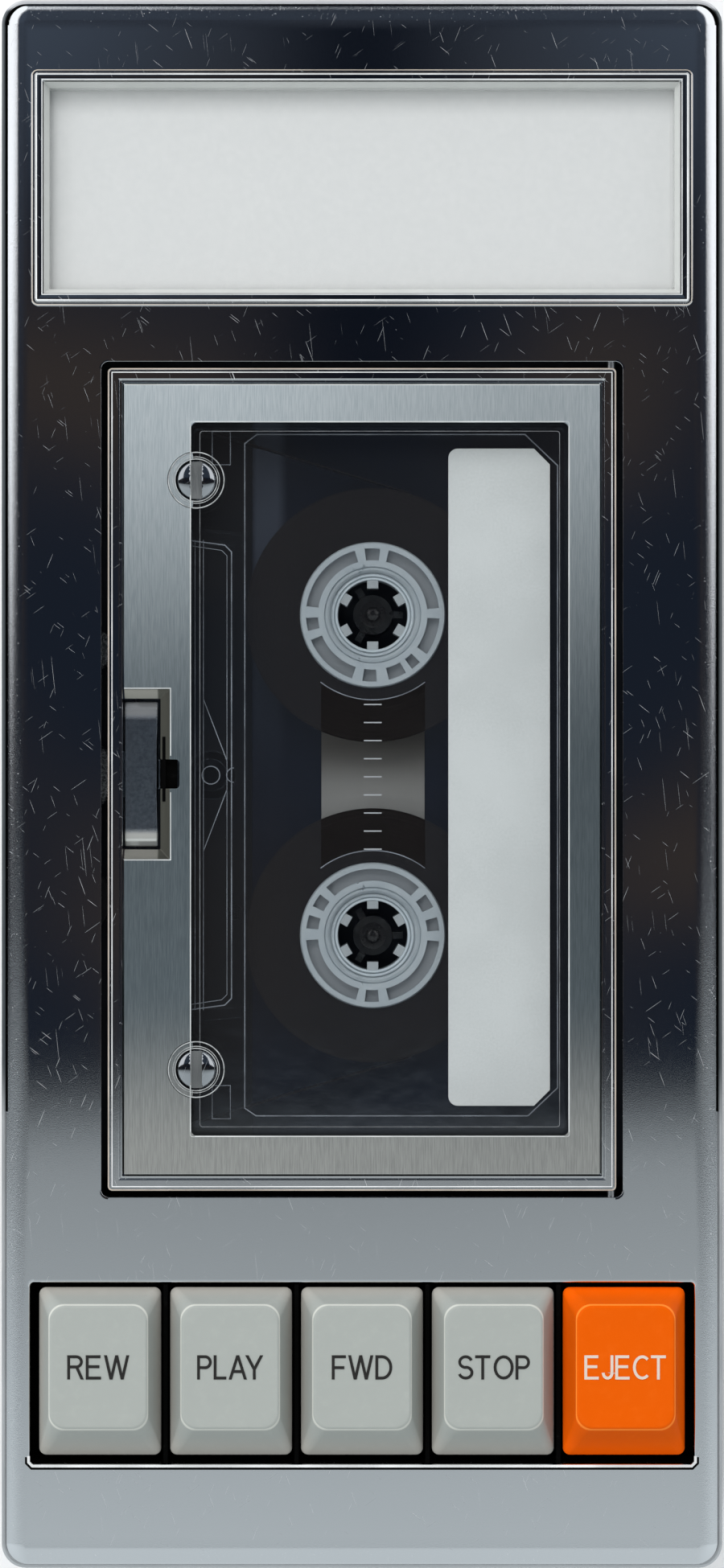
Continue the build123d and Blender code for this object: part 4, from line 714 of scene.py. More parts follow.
hub_plastic = Finish("hub plastic", Base_Color=(0.39, 0.45, 0.48), Roughness=0.34)
hub_cloud = hub_plastic.noise(hub_plastic.place(), 0.4, 3.0)
hub_plastic.tint(hub_cloud, (0.335, 0.395, 0.435), (0.445, 0.500, 0.525))
hub_plastic.bump(hub_plastic.noise(hub_plastic.place(), 2.0, 3.0), 0.01)
# Painted shade: the pocket floors are a darker grey than the hub, and the teeth a darker copy of the hub
# plastic.
pocket_painted_shade = Finish("pocket floor", Base_Color=(0.215, 0.235, 0.25), Roughness=0.5)
tooth_painted_shade = Finish("tooth plastic", Base_Color=(0.26, 0.29, 0.305), Roughness=0.36)
dress(hub_plastic.material, "guide_roller_supply", "guide_roller_takeup")
hub_z0, hub_z1 = hub_box[4], hub_box[5]
hub_rim = (hub_box[1] - hub_box[0]) / 2
hub_bore = 4.6
tooth_tip, tooth_top = 3.6, hub_z1 - 0.5
pocket_inner, pocket_outer, pocket_depth = 7.25, 8.85, 1.2
supply_pockets = [
    (6, 76), (83.5, 97), (105.5, 172.5), (182.5, 194), (202, 252),
    (261, 273.5), (284, 300), (306, 315), (324, 357),
]
takeup_pockets = [
    (4, 16), (25, 38), (46, 134), (142, 154), (162, 174),
    (184, 255.5), (263, 275.5), (284, 355),
]


def sector(form, centre, inner, outer, z0, z1, start, end):
    """A closed part of a ring."""
    steps = max(3, int((end - start) / 4))
    sides = []
    for radius in (inner, outer):
        line = arc_points(centre, radius, start, end, steps)
        for z in (z0, z1):
            sides.append([form.verts.new((x, y, z)) for x, y in line])
    low_in, high_in, low_out, high_out = sides
    for first, second in ((low_in, low_out), (low_out, high_out), (high_out, high_in), (high_in, low_in)):
        for step in range(steps):
            form.faces.new([first[step], first[step + 1], second[step + 1], second[step]])
    for step in (0, -1):
        form.faces.new([low_in[step], low_out[step], high_out[step], high_in[step]])


for reel, y, pockets in (("supply", supply_y, supply_pockets), ("takeup", takeup_y, takeup_pockets)):
    form = bmesh.new()
    turned(form, [
        (hub_bore, hub_z0), (hub_bore, hub_z1 - 0.5), (hub_bore + 0.1, hub_z1 - 0.4), (4.92, hub_z1 - 0.4),
        (4.98, hub_z1 - 1.0), (5.12, hub_z1 - 1.0), (5.18, hub_z1 - 0.45), (5.45, hub_z1 - 0.45),
        (5.5, hub_z1 - 0.95), (5.62, hub_z1 - 0.95), (5.68, hub_z1 - 0.4), (5.95, hub_z1 - 0.2),
        (6.25, hub_z1 - 0.35), (6.3, hub_z1 - 0.65), (6.4, hub_z1 - 0.65), (6.46, hub_z1 - 0.12),
        (7.0, hub_z1), (hub_rim - 0.2, hub_z1), (hub_rim, hub_z1 - 0.2), (hub_rim, hub_z0),
        (hub_bore, hub_z0),
    ], (hub_x, y), 144)
    hub = piece("hub_" + reel + ".finished", form, hub_plastic.material)
    form = bmesh.new()
    for start, end in pockets:
        sector(form, (hub_x, y), pocket_inner, pocket_outer, hub_z1 - pocket_depth, hub_z1 + 1, start, end)
    hub = carved(hub, piece("pockets", form, hub_plastic.material))
    bevelled(hub, 0.07, 2, 50)

    teeth = block_ring(
        "hub_teeth_" + reel, 6, (hub_bore + tooth_tip) / 2, 1.2, 1.5, tooth_top - hub_z0, tooth_painted_shade.material)
    place = Matrix.Translation((hub_x * mm, y * mm, (hub_z0 + tooth_top) / 2 * mm))
    teeth.data.transform(place @ Matrix.Rotation(math.radians(30), 4, "Z"))
    bevelled(teeth, 0.08)
    # Thin floors in the painted pocket shade, at the bottom of each pocket.
    form = bmesh.new()
    for start, end in pockets:
        sector(
            form, (hub_x, y), pocket_inner + 0.02, pocket_outer - 0.02, hub_z1 - pocket_depth - 0.05,
            hub_z1 - pocket_depth + 0.02, start + 0.2, end - 0.2,
        )
    floors = piece("pocket_floors_" + reel, form, pocket_painted_shade.material)
    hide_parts("hub_" + reel)
    for part in (hub, teeth, floors):
        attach(part, reel + "_reel")

# Keys
# Five hollow piano keys, four grey and an orange one, in semi-gloss moulded plastic.
# Each has a broad slope at its front, a crown with soft edges and two arms to the shaft.


def rod(form, start, end, radius, steps=32):
    """A closed cylinder between two points."""
    start, end = Vector(start), Vector(end)
    along = end - start
    turn = along.to_track_quat("Z", "Y").to_matrix().to_4x4()
    bmesh.ops.create_cone(
        form, cap_ends=True, segments=steps, radius1=radius, radius2=radius, depth=along.length,
        matrix=Matrix.Translation((start + end) / 2) @ turn,
    )


key_low = 36.0
key_skirt = 39.15
key_names = ["rew", "play", "fwd", "stop", "eject"]
key_boxes = {name: span("key_" + name) for name in key_names}
key_length = 22.0
key_wall = 1.2
slope_upper, slope_lower, slope_side = 1.85, 4.05, 1.6
crown_round = 0.42
base_corner, crown_corner = 0.95, 2.1


def rounded(width, length, corner, centre=(0.0, 0.0), steps=10):
    """The corners of a rectangle with round ends, counter-clockwise."""
    points = []
    for quarter, (side, end) in enumerate([(1, 1), (-1, 1), (-1, -1), (1, -1)]):
        x = centre[0] + side * (width / 2 - corner)
        y = centre[1] + end * (length / 2 - corner)
        points += arc_points((x, y), corner, 90 * quarter, 90 * quarter + 90, steps)
    return points


def ring(form, points, z):
    """Points in plan, set at one height."""
    return [form.verts.new((x, y, z)) for x, y in points]


def strip(form, first, second):
    """The wall between two rings of as many points."""
    for step in range(len(first)):
        after = (step + 1) % len(first)
        form.faces.new([first[step], first[after], second[after], second[step]])


def lid(form, *rings):
    """A flat face inside the first ring and outside the others."""
    edges = []
    for points in rings:
        for step, point in enumerate(points):
            after = points[(step + 1) % len(points)]
            edges.append(form.edges.get((point, after)) or form.edges.new((point, after)))
    bmesh.ops.triangle_fill(form, use_beauty=True, edges=edges, normal=(0, 0, 1))


def key_plastic(name, colour, deep, pale, shine=0.3):
    """Key plastic: slopes painted lighter than the crown as painted light, a painted highlight along the
    crown's round edge, and a fine mottle.
    """
    finish = Finish(name, Base_Color=colour, Roughness=0.38, Specular_IOR_Level=shine)
    point = finish.place()
    mottle = finish.noise(point, 0.6, 5.0, 0.65)
    height = finish.axis(point, 2)
    crown = key_boxes["rew"][5]
    # Painted light: the slopes are painted in the lighter deep tone, and the crown in colour.
    body = finish.colours(finish.between(height, key_skirt, crown - 1.0), deep, colour)
    body = finish.colours(finish.between(mottle, 0.45, 0.8, 0.0, 0.07), body, pale)
    # Painted highlight: a pale band along the crown's rounded edge.
    painted_crown_highlight = finish.between(height, crown - 0.50, crown - 0.36)
    painted_crown_highlight = painted_crown_highlight * finish.between(height, crown - 0.19, crown - 0.11, 1.0, 0.0)
    finish.tint(painted_crown_highlight * 0.9, body, pale)
    finish.give("Roughness", finish.between(mottle, 0.3, 0.75, 0.33, 0.46))
    finish.bump(finish.noise(point, 2.2, 4.0), 0.012)
    return finish.material


grey_key = key_plastic("grey key", (0.322, 0.341, 0.320), (0.385, 0.370, 0.335), (0.58, 0.59, 0.54))
orange_key = key_plastic("orange key", (0.68, 0.092, 0.0005), (0.88, 0.112, 0.001), (0.95, 0.24, 0.03), 0.05)

for name in key_names:
    x0, x1, y0, y1, z0, z1 = key_boxes[name]
    middle = (x0 + x1) / 2
    width = x1 - x0
    key_y = y0 + key_length / 2
    material = orange_key if name == "eject" else grey_key

    def key_ring(form, share, inset, z):
        """One level of the cap: share of the way up its slopes, drawn in by inset."""
        across = width - 2 * slope_side * share - 2 * inset
        along = key_length - (slope_upper + slope_lower) * share - 2 * inset
        corner = max(base_corner + (crown_corner - base_corner) * share - 0.6 * inset, 0.3)
        shift = (slope_lower - slope_upper) / 2 * share
        return ring(form, rounded(across, along, corner, (middle, key_y + shift)), z)

    form = bmesh.new()
    levels = [key_ring(form, 0, 0.6, key_low), key_ring(form, 0, 0.42, key_low + 0.2)]
    levels += [key_ring(form, 0, 0, key_skirt - 0.1), key_ring(form, 0.02, 0, key_skirt + 0.12)]
    shoulder = z1 - crown_round
    levels.append(key_ring(form, 0.94, 0, shoulder))
    for step in range(1, 7):
        turn = math.radians(15 * step)
        share = 0.94 + 0.06 * math.sin(turn)
        inset = crown_round * (1 - math.cos(turn)) * 0.8
        levels.append(key_ring(form, share, inset, shoulder + crown_round * math.sin(turn)))
    levels.append(key_ring(form, 1, crown_round + 0.9, z1 - 0.03))
    levels.append(key_ring(form, 1, crown_round + 2.6, z1 - 0.1))
    for low, high in zip(levels, levels[1:]):
        strip(form, low, high)
    lid(form, levels[-1])
    rim = key_ring(form, 0, key_wall, key_low)
    inner = key_ring(form, 0.9, key_wall, z1 - 2 * key_wall)
    strip(form, levels[0], rim)
    strip(form, rim, inner)
    lid(form, inner)
    key = piece("key_" + name + ".finished", form, material, 50)
    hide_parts("key_" + name)
    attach(key, name + "_key")

    # Painted shade: the arms are drawn in the key tray's black, where they show in the gaps between the keys.
    form = bmesh.new()
    boss_y, boss_z = y1 - 2.0, z0 + 2.0
    for side in (-1, 1):
        edges = sorted([middle + side * 4.8, middle + side * 6.0])
        bar(form, *edges, key_y + key_length / 2 - 7.4, boss_y, z0, key_low + key_wall)
    rod(form, (middle - 6, boss_y, boss_z), (middle + 6, boss_y, boss_z), 2.0)
    arms = piece("key_arms_" + name, form, tray_black.material)
    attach(arms, name + "_key")

# Words on the keys
# Plain thin capitals for what each key does, printed in dark grey, and in pale grey on the orange key.
# The letters are strokes of one width, drawn on a square one letter high.

stroke = 0.118
letter_gap = 0.07
word_height = 3.15
word_rise = 1.07
word_widths = {"rew": 8.1, "play": 8.6, "fwd": 7.9, "stop": 9.4, "eject": 10.8}


def oval(x, y, across, along, start, end):
    """Part of an oval, from one angle in degrees to another."""
    return [(x + across * px, y + along * py) for px, py in arc_points((0, 0), 1, start, end, 20)]


low, high, mid = stroke / 2, 1 - stroke / 2, 0.5
stem = [(low, 0), (low, 1)]
letters = {
    "A": [[(0.04, 0), (0.34, 1)], [(0.34, 1), (0.64, 0)], [(0.14, 0.33), (0.54, 0.33)]],
    "C": [oval(0.38, 0.5, 0.32, high - mid, 48, 312)],
    "D": [stem, [(low, high), (0.26, high)] + oval(0.26, mid, 0.33, high - mid, 88, -88)
          + [(0.26, low), (low, low)]],
    "E": [stem, [(low, high), (0.56, high)], [(low, 0.53), (0.52, 0.53)], [(low, low), (0.58, low)]],
    "F": [stem, [(low, high), (0.54, high)], [(low, 0.49), (0.48, 0.49)]],
    "J": [[(0.40, 1), (0.40, 0.28)] + oval(0.225, 0.28, 0.175, 0.28 - low, 0, -180)],
    "L": [stem, [(low, low), (0.50, low)]],
    "O": [oval(0.40, 0.5, 0.34, high - mid, 0, 360)],
    "P": [stem, [(low, high), (0.32, high)] + oval(0.32, 0.715, 0.20, high - 0.715, 88, -88)
          + [(low, 0.495)]],
    "R": [stem, [(low, high), (0.34, high)] + oval(0.34, 0.73, 0.20, high - 0.73, 88, -88)
          + [(low, 0.52)], [(0.36, 0.52), (0.57, 0)]],
    "S": [oval(0.31, 0.72, 0.235, high - 0.72, 18, 262) + oval(0.31, 0.285, 0.25, 0.285 - low, 80, -165)],
    "T": [[(0.0, high), (0.60, high)], [(0.30, 0), (0.30, high)]],
    "W": [[(0.04, 1), (0.25, 0)], [(0.25, 0), (0.46, 1)], [(0.46, 1), (0.67, 0)], [(0.67, 0), (0.88, 1)]],
    "Y": [[(0.03, 1), (0.32, 0.42)], [(0.32, 0.42), (0.61, 1)], [(0.32, 0.46), (0.32, 0)]],
}
closer = {"LA": 0.02, "AY": 0.10, "FW": 0.03}
print_dark = Finish("dark print", Base_Color=(0.018, 0.017, 0.016), Roughness=0.6, Specular_IOR_Level=0.2)
print_pale = Finish("pale print", Base_Color=(0.62, 0.52, 0.44), Roughness=0.6, Specular_IOR_Level=0.2)
for ink in (print_dark, print_pale):
    ink.bump(ink.noise(ink.place(), 3.0, 3.0), 0.005)
for name in key_names:
    x0, x1, y0, y1, z0, z1 = key_boxes[name]
    ink = print_pale if name == "eject" else print_dark
    lines, pen = [], 0.0
    for before, letter in zip(" " + name.upper(), name.upper()):
        pen -= closer.get(before + letter, 0.0)
        lines += [[(pen + x, y) for x, y in line] for line in letters[letter]]
        pen += max(x for line in letters[letter] for x, y in line) + stroke / 2 + letter_gap
    total = pen - letter_gap
    centre = Vector(((x0 + x1) / 2, y0 + key_length / 2 + word_rise))
    letter_width = word_widths[name] / total
    form = bmesh.new()
    for number, line in enumerate(lines):
        bottom, top = z1 - 0.12, z1 - 0.02 + 0.002 * number
        drawn = [centre + Vector(((x - total / 2) * letter_width, (y - 0.5) * word_height)) for x, y in line]
        run = drawn[1] - drawn[0]
        if len(drawn) == 2 and 0 < abs(run.x) < abs(run.y):
            side = Vector((stroke * word_height / 2 * run.length / abs(run.y), 0))
            corners = [drawn[0] - side, drawn[0] + side, drawn[1] + side, drawn[1] - side]
            foot, face = ring(form, corners, bottom), ring(form, corners, top)
            strip(form, foot, face)
            form.faces.new(foot)
            form.faces.new(face)
        else:
            rib(form, drawn, stroke * word_height, bottom, top)
    word = piece("print_" + name, form, ink.material, 30)
    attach(word, name + "_key")

# Front cover
# Polished sheet with a rolled edge, chromed, and marked by years of small scratches.
# Its openings for the door and the keys are rolled inwards, and two lugs carry the door's pins.


def polished(name, tone, roughness, wear):
    """Chromium plate: a mirror with short scratches every way, specks and a faint haze."""
    finish = Finish(name, Base_Color=tone, Metallic=1.0, Roughness=roughness)
    point = finish.place()
    patches = finish.noise(point, 0.05, 2.0)
    handled = finish.node("ShaderNodeMath", {"operation": "MAXIMUM"}, {
        0: finish.between(abs(finish.axis(point, 0)), 43.4, 45.2),
        1: finish.between(abs(finish.axis(point, 1)), 98.6, 100.8),
    })
    scratches = ((70, 5.5, 1.0), (112, 4.0, 0.7), (84, 8.0, 0.6), (38, 3.2, 0.9), (-35, 4.5, 0.5))
    marks = None
    for turn, length, depth in scratches:
        along = finish.place(centre=(turn, 2 * turn, 0), stretch=(1 / length, 14.0, 1), turn=turn)
        streak = finish.noise(along, 1.0, 0.0) + 0.04 * patches - 0.03 * handled
        line = finish.between(streak, 0.884 - 0.022 * wear, 0.900 - 0.022 * wear) * depth
        marks = line if marks is None else marks + line
    specks = finish.noise(point, 4.8, 1.0) + 0.07 * handled
    specks = finish.between(specks, 0.835 - 0.02 * wear, 0.86 - 0.02 * wear)
    fine = finish.noise(point, 5.5, 4.0, 0.8)
    hurt = finish.node("ShaderNodeMath", {"operation": "MINIMUM"}, {0: marks + 0.8 * specks, 1: 1.0})
    finish.give("Metallic", 1.0 - 0.35 * hurt)
    finish.give("Roughness", handled * 0.14 * fine + hurt * 0.34 + roughness)
    finish.bump(hurt * -0.5 + finish.noise(point, 0.03, 1.0) * 0.5 + fine * (0.25 + 1.4 * handled), 0.005)
    return finish.material


chrome = polished("chromed sheet", (0.81, 0.83, 0.85), 0.036, 1.0)
cover_x0, cover_x1, cover_y0, cover_y1, cover_low, cover_top = span("front_cover")
cover_width = cover_x1 - cover_x0
cover_length = cover_y1 - cover_y0
cover_corner = 2.3
cover_roll = 2.28
sheet = 1.6


def inside(box, inset):
    """A box's sides in plan, drawn in by inset."""
    return box[0] + inset, box[1] - inset, box[2] + inset, box[3] - inset


def rolled(form, width, length, corner, centre, top, roll, outward):
    """The rings of a rolled edge, from the flat face down its quarter turn."""
    beside = (roll + 0.3) * outward
    flat = rounded(width + 2 * beside, length + 2 * beside, max(corner + beside, 0.3), centre, 12)
    rings = [ring(form, flat, top)]
    for step in range(9):
        turn = math.radians(90 * step / 8)
        in_plan = roll * (1 - math.sin(turn)) * outward
        down = roll * (1 - math.cos(turn))
        outline = rounded(width + 2 * in_plan, length + 2 * in_plan, max(corner + in_plan, 0.02), centre, 12)
        rings.append(ring(form, outline, top - down))
    return rings


form = bmesh.new()
middle = ((cover_x0 + cover_x1) / 2, (cover_y0 + cover_y1) / 2)
bulge = 0.35
outer = (cover_width + 2 * bulge, cover_length + 2 * bulge, cover_corner + 0.7, middle)
edge = rolled(form, *outer, cover_top, cover_roll, -1)
rim_top = span("middle_case")[5] + 0.04
skirt = rounded(cover_width, cover_length, cover_corner, middle, 12)
inner = rounded(cover_width - 2 * sheet, cover_length - 2 * sheet, 0.7, middle, 12)
walls = edge + [
    ring(form, rounded(*outer, 12), rim_top), ring(form, skirt, rim_top), ring(form, skirt, cover_low),
    ring(form, inner, cover_low), ring(form, inner, cover_top - sheet),
]
for first, second in zip(walls, walls[1:]):
    strip(form, first, second)
door_box = span("door_frame")
door_gap = 0.85
dial_box = span("dial_plate")
slot_x = key_boxes["eject"][1] + 1.2
slot_y0, slot_y1 = key_boxes["rew"][2] - 1.1, key_boxes["rew"][2] + key_length + 0.7
openings = [
    (*inside(door_box, -door_gap), 1.0, 0.05),
    (-slot_x, slot_x, slot_y0, slot_y1, 0.6, 0.22),
    (*dial_box[:4], 0.6, 0.02),
]
tops, unders = [edge[0]], [walls[-1]]
for x0, x1, y0, y1, corner, roll in openings:
    centre = ((x0 + x1) / 2, (y0 + y1) / 2)
    rim = rolled(form, x1 - x0, y1 - y0, corner, centre, cover_top, roll, 1)
    under = ring(form, rounded(x1 - x0, y1 - y0, corner, centre, 12), cover_top - sheet)
    for first, second in zip(rim, rim[1:] + [under]):
        strip(form, first, second)
    tops.append(rim[0])
    unders.append(under)
lid(form, *tops)
lid(form, *unders)
pins = span("hinge_pins")
pin_x = (pins[0] + pins[1]) / 2
lug_length = 3.0
for low in (door_box[2] - door_gap - lug_length, door_box[3] + door_gap):
    bar(form, pin_x - 2, pin_x + 2, low, low + lug_length, cover_top - 2.5, cover_top - sheet - 0.05)
front_cover = piece("front_cover.finished", form, chrome, 30)
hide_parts("front_cover")
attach(front_cover, "case")


def cradle(x, y, corner, rise, width, high):
    """A ridge along the foot of the key slot, turned up at its ends."""
    half = [(x - corner, y), (x, y + corner), (x, y + rise)]
    form = bmesh.new()
    rib(form, [(-a, b) for a, b in reversed(half)] + half, width, cover_top - 0.3, cover_top + high)
    return form


# Painted highlight: a pale ridge along the foot of the key slot, in a pale, little metallic finish that
# stands for the glint of a rolled chrome lip.
lip_x, lip_y = slot_x + 0.14, slot_y0 - 0.24
form = cradle(lip_x, lip_y, 0.5, 1.3, 0.34, 0.10)
painted_edge_highlight = zinc("polished edge", (0.92, 0.93, 0.93), 0.34, (0.5, 4.0, 1.0), 0.25)
lip = piece("key_slot_lip", form, painted_edge_highlight)
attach(lip, "case")
# Painted shadow: a black ridge just below the lip, in the key tray's black.
form = cradle(lip_x + 0.32, lip_y - 0.34, 0.7, 1.5, 0.3, 0.05)
slot_shade_line = piece("key_slot_seam", form, tray_black.material)
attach(slot_shade_line, "case")
form = bmesh.new()
side_x, end_y, turn_radius = cover_width / 2 + 0.27, cover_length / 2 - 0.02, 2.6
seam_low, seam_end = cover_top - 2.3, -43.0
left_turn = arc_points((-side_x + turn_radius, end_y - turn_radius), turn_radius, 180, 90, 10)
right_turn = arc_points((side_x - turn_radius, end_y - turn_radius), turn_radius, 90, 0, 10)
rib(form, rounded(2 * side_x, 2 * end_y, turn_radius, middle), 0.15, seam_low, cover_top - 1.9, closed=True)
rib(form, left_turn + right_turn, 0.2, seam_low, cover_top - 1.0)
for side in (-side_x, side_x):
    rib(form, [(side, seam_end), (side, end_y - turn_radius)], 0.15, seam_low, cover_top - 1.27)
case_seam = piece("case_seam", form, tray_black.material)
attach(case_seam, "case")

# Dial window
# A chromed moulding set on the cover round a clear window with a thick bevelled edge.
# The plate behind it is blank.


def moulding(form, box, corner, profile, steps=8):
    """A closed frame along the edge of a box, from points of (inset, z) round its section."""
    centre = ((box[0] + box[1]) / 2, (box[2] + box[3]) / 2)
    rings = []
    for inset, z in profile:
        x0, x1, y0, y1 = inside(box, inset)
        rings.append(ring(form, rounded(x1 - x0, y1 - y0, max(corner - inset, 0.05), centre, steps), z))
    for first, second in zip(rings, rings[1:] + rings[:1]):
        strip(form, first, second)


def hoop(form, box, corner, inset, width, low, high):
    """A frame of square section along the edge of a box."""
    moulding(form, box, corner, [(inset, low), (inset, high), (inset + width, high), (inset + width, low)])


chrome_trim = polished("chromed trim", (0.82, 0.83, 0.84), 0.05, 0.6)
bezel_box = span("dial_bezel")
bezel_top = bezel_box[5]
form = bmesh.new()
moulding(form, bezel_box, 0.9, [
    (0.0, cover_top - 0.02), (0.0, cover_top + 0.3), (0.06, cover_top + 0.42), (0.16, cover_top + 0.46),
    (0.24, cover_top + 0.40), (0.28, cover_top + 0.12), (0.38, cover_top + 0.12), (0.42, cover_top + 0.5),
    (0.50, bezel_top - 0.12), (0.60, bezel_top - 0.02), (0.70, bezel_top), (1.30, bezel_top),
    (1.42, bezel_top - 0.05), (1.50, bezel_top - 0.2), (1.55, cover_top - 0.1), (1.55, bezel_box[4]),
    (1.2, bezel_box[4]), (1.2, cover_top - 0.02),
])
bezel = piece("dial_bezel.finished", form, chrome_trim, 24)
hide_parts("dial_bezel")
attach(bezel, "case")

# Painted highlights: two pale lines on the bezel's edges, and a warm line on its outer rim as a painted warm
# reflection.
painted_warm_reflection = zinc("worn edge", (0.62, 0.54, 0.46), 0.4, (3.0, 3.0, 1.0), 0.3)
form = bmesh.new()
for inset, width, height in ((0.64, 0.17, bezel_top), (1.40, 0.10, bezel_top - 0.02)):
    hoop(form, bezel_box, 0.9, inset, width, height - 0.15, height + 0.015)
bezel_lines = piece("dial_bezel_edges", form, painted_edge_highlight)
form = bmesh.new()
hoop(form, bezel_box, 0.9, 0.08, 0.12, cover_top + 0.3, cover_top + 0.475)
bezel_rim = piece("dial_bezel_rim", form, painted_warm_reflection)
for part in (bezel_lines, bezel_rim):
    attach(part, "case")

# Painted reflection: the window's clear bevelled edge is drawn opaque, in a pale grey that stands for the
# white plate it mirrors.
window_edge = Finish("window edge", Base_Color=(0.72, 0.73, 0.72), Roughness=0.12, Coat_Weight=0.4)
edge_cloud = window_edge.noise(window_edge.place(), 0.3, 2.0)
window_edge.tint(edge_cloud, (0.50, 0.51, 0.49), (0.58, 0.59, 0.57))
form = bmesh.new()
dial_top = dial_box[5]
moulding(form, bezel_box, 0.9, [
    (1.56, dial_top + 0.02), (1.56, cover_top - 0.05), (1.62, cover_top + 0.12), (1.74, cover_top + 0.16),
    (2.2, cover_top - 0.75), (2.3, cover_top - 0.85), (2.36, cover_top - 1.6), (2.36, dial_top + 0.02),
])
window_rim = piece("dial_window_edge", form, window_edge.material, 24)
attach(window_rim, "case")

window_clear, window_alpha = clear("dial window", (0.95, 0.97, 0.97), 0.0, 0.02)
window_clear.give("Alpha", window_alpha)
window_clear.bump(window_clear.noise(window_clear.place(), 0.05, 2.0), 0.001)
dress(window_clear.material, "dial_lens")
dial_white = Finish("dial plate", Base_Color=(0.59, 0.60, 0.595), Roughness=0.5)
dial_dust = dial_white.noise(dial_white.place(), 1.2, 5.0, 0.7)
dial_white.tint(dial_white.between(dial_dust, 0.3, 0.8), (0.575, 0.585, 0.58), (0.61, 0.617, 0.61))
dial_white.bump(dial_dust, 0.006)
dress(dial_white.material, "dial_plate")

# Cassette door
# A chromed frame on two pins round a brushed plate, with the clear window clamped behind it.

frame_top = door_box[5]
plate_box = span("door_plate")
form = bmesh.new()
moulding(form, door_box, 0.6, [
    (0.0, door_box[4]), (0.0, frame_top - 0.45), (0.05, frame_top - 0.33), (0.14, frame_top - 0.28),
    (0.24, frame_top - 0.32), (0.3, frame_top - 0.6), (0.4, frame_top - 0.6), (0.44, frame_top - 0.3),
    (0.52, frame_top - 0.1), (0.66, frame_top), (1.42, frame_top), (1.54, frame_top - 0.05),
    (1.62, frame_top - 0.2), (1.66, frame_top - 0.4), (1.76, frame_top - 0.4), (1.80, frame_top - 0.24),
    (1.9, frame_top - 0.2),
    (1.95, frame_top - 0.3), (1.95, plate_box[4]), (3.95, plate_box[4] - 0.01), (3.95, door_box[4]),
])
door_frame = piece("door_frame.finished", form, chrome_trim, 24)
form = bmesh.new()
latch_box = span("door_latch")
latch_room = (door_box[0] - 1, latch_box[1] + 1.8, latch_box[2] - 0.3, latch_box[3] + 0.3)
bar(form, *latch_room, door_box[4] - 1, plate_box[4] + 0.01)
door_frame = carved(door_frame, piece("latch room", form, chrome_trim), 24)
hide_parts("door_frame")
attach(door_frame, "door")

# Painted reflection and highlight: a warm line on the frame's outer lip and a pale line on its inner edge.
form = bmesh.new()
moulding(form, door_box, 0.6, [
    (0.03, frame_top - 0.5), (0.03, frame_top - 0.24), (0.10, frame_top - 0.19), (0.20, frame_top - 0.22),
    (0.22, frame_top - 0.5),
])
frame_lip = piece("door_frame_lip", form, painted_warm_reflection)
form = bmesh.new()
moulding(form, door_box, 0.6, [
    (0.52, frame_top - 0.2), (0.52, frame_top + 0.01), (0.64, frame_top + 0.015), (0.64, frame_top - 0.2),
])
frame_edge = piece("door_frame_edge", form, painted_edge_highlight)
for part in (frame_lip, frame_edge):
    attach(part, "door")

brushed = Finish("brushed plate", Base_Color=(0.46, 0.48, 0.485), Metallic=0.6, Roughness=0.32)
fine_lines = brushed.noise(brushed.place(stretch=(9.0, 0.35, 1.0)), 1.0, 2.0, 0.6)
long_lines = brushed.noise(brushed.place(stretch=(4.0, 0.04, 1.0)), 1.0, 2.0, 0.5)
lines = 0.7 * fine_lines + 0.3 * long_lines
plate_point = brushed.place()
plate_x, plate_y, plate_z = (brushed.axis(plate_point, n) for n in range(3))
grain = brushed.between(lines, 0.35, 0.65)
# Painted reflection: the plate's tone runs from warm at the foot, through darker in the middle, to cool at
# the top, and painted shade darkens it towards the right.
cool = brushed.colours(grain, (0.54, 0.61, 0.64), (0.72, 0.78, 0.805))
warm = brushed.colours(grain, (0.31, 0.315, 0.30), (0.42, 0.425, 0.405))
darker_tone = brushed.colours(grain, (0.098, 0.122, 0.135), (0.145, 0.176, 0.192))
tone = brushed.colours(brushed.between(plate_y, -50.0, -26.0), warm, darker_tone)
tone = brushed.colours(brushed.between(plate_y, 0.0, 60.0), tone, cool)
shade = brushed.between(plate_x, -22.0, 30.0, 0.0, 0.24) * brushed.between(plate_y, -48.0, -30.0, 0.3, 1.0)
tone = brushed.colours(shade, tone, (0.03, 0.036, 0.040))
# Painted light and shade: the latch recess is painted a warm grey and its wall dark.
recess_x, recess_wall_x = -25.05, -26.75
recess = brushed.between(plate_x, recess_x - 0.15, recess_x + 0.15, 1.0, 0.0)
recess = recess * brushed.between(plate_z, 40.0, 40.1, 1.0, 0.0)
recess = recess * brushed.between(plate_y, latch_box[2] - 1.75, latch_box[2] - 1.6)
recess = recess * brushed.between(plate_y, latch_box[3] + 1.6, latch_box[3] + 1.75, 1.0, 0.0)
tone = brushed.colours(recess, tone, (0.27, 0.265, 0.235))
wall = brushed.between(plate_x, recess_wall_x - 0.15, recess_wall_x + 0.15)
tone = brushed.colours(recess * wall, tone, (0.075, 0.075, 0.062))
brushed.give("Base Color", tone)
brushed.give("Roughness", brushed.between(lines, 0.3, 0.7, 0.36, 0.28))
brushed.bump(lines, 0.010)
door_plate = softened("door_plate", brushed.material, 0.12, 3)
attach(door_plate, "door")

lens_clear, lens_alpha = clear("door window", (0.92, 0.95, 0.98), 0.0, 0.03)
lens_clear.give("Alpha", lens_alpha)
lens_clear.bump(lens_clear.noise(lens_clear.place(), 0.06, 2.0), 0.01)
door_lens = softened("door_lens", lens_clear.material, 0.16, 3)
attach(door_lens, "door")

# Rims of the door's window
# The edge of its raised part and the rings of the two bosses round the screws, drawn as a grey line and pale
# rings that are painted highlights, and pale lines of painted highlight along the plate's edges. Under the
# bosses the plate shows through the clear plastic.

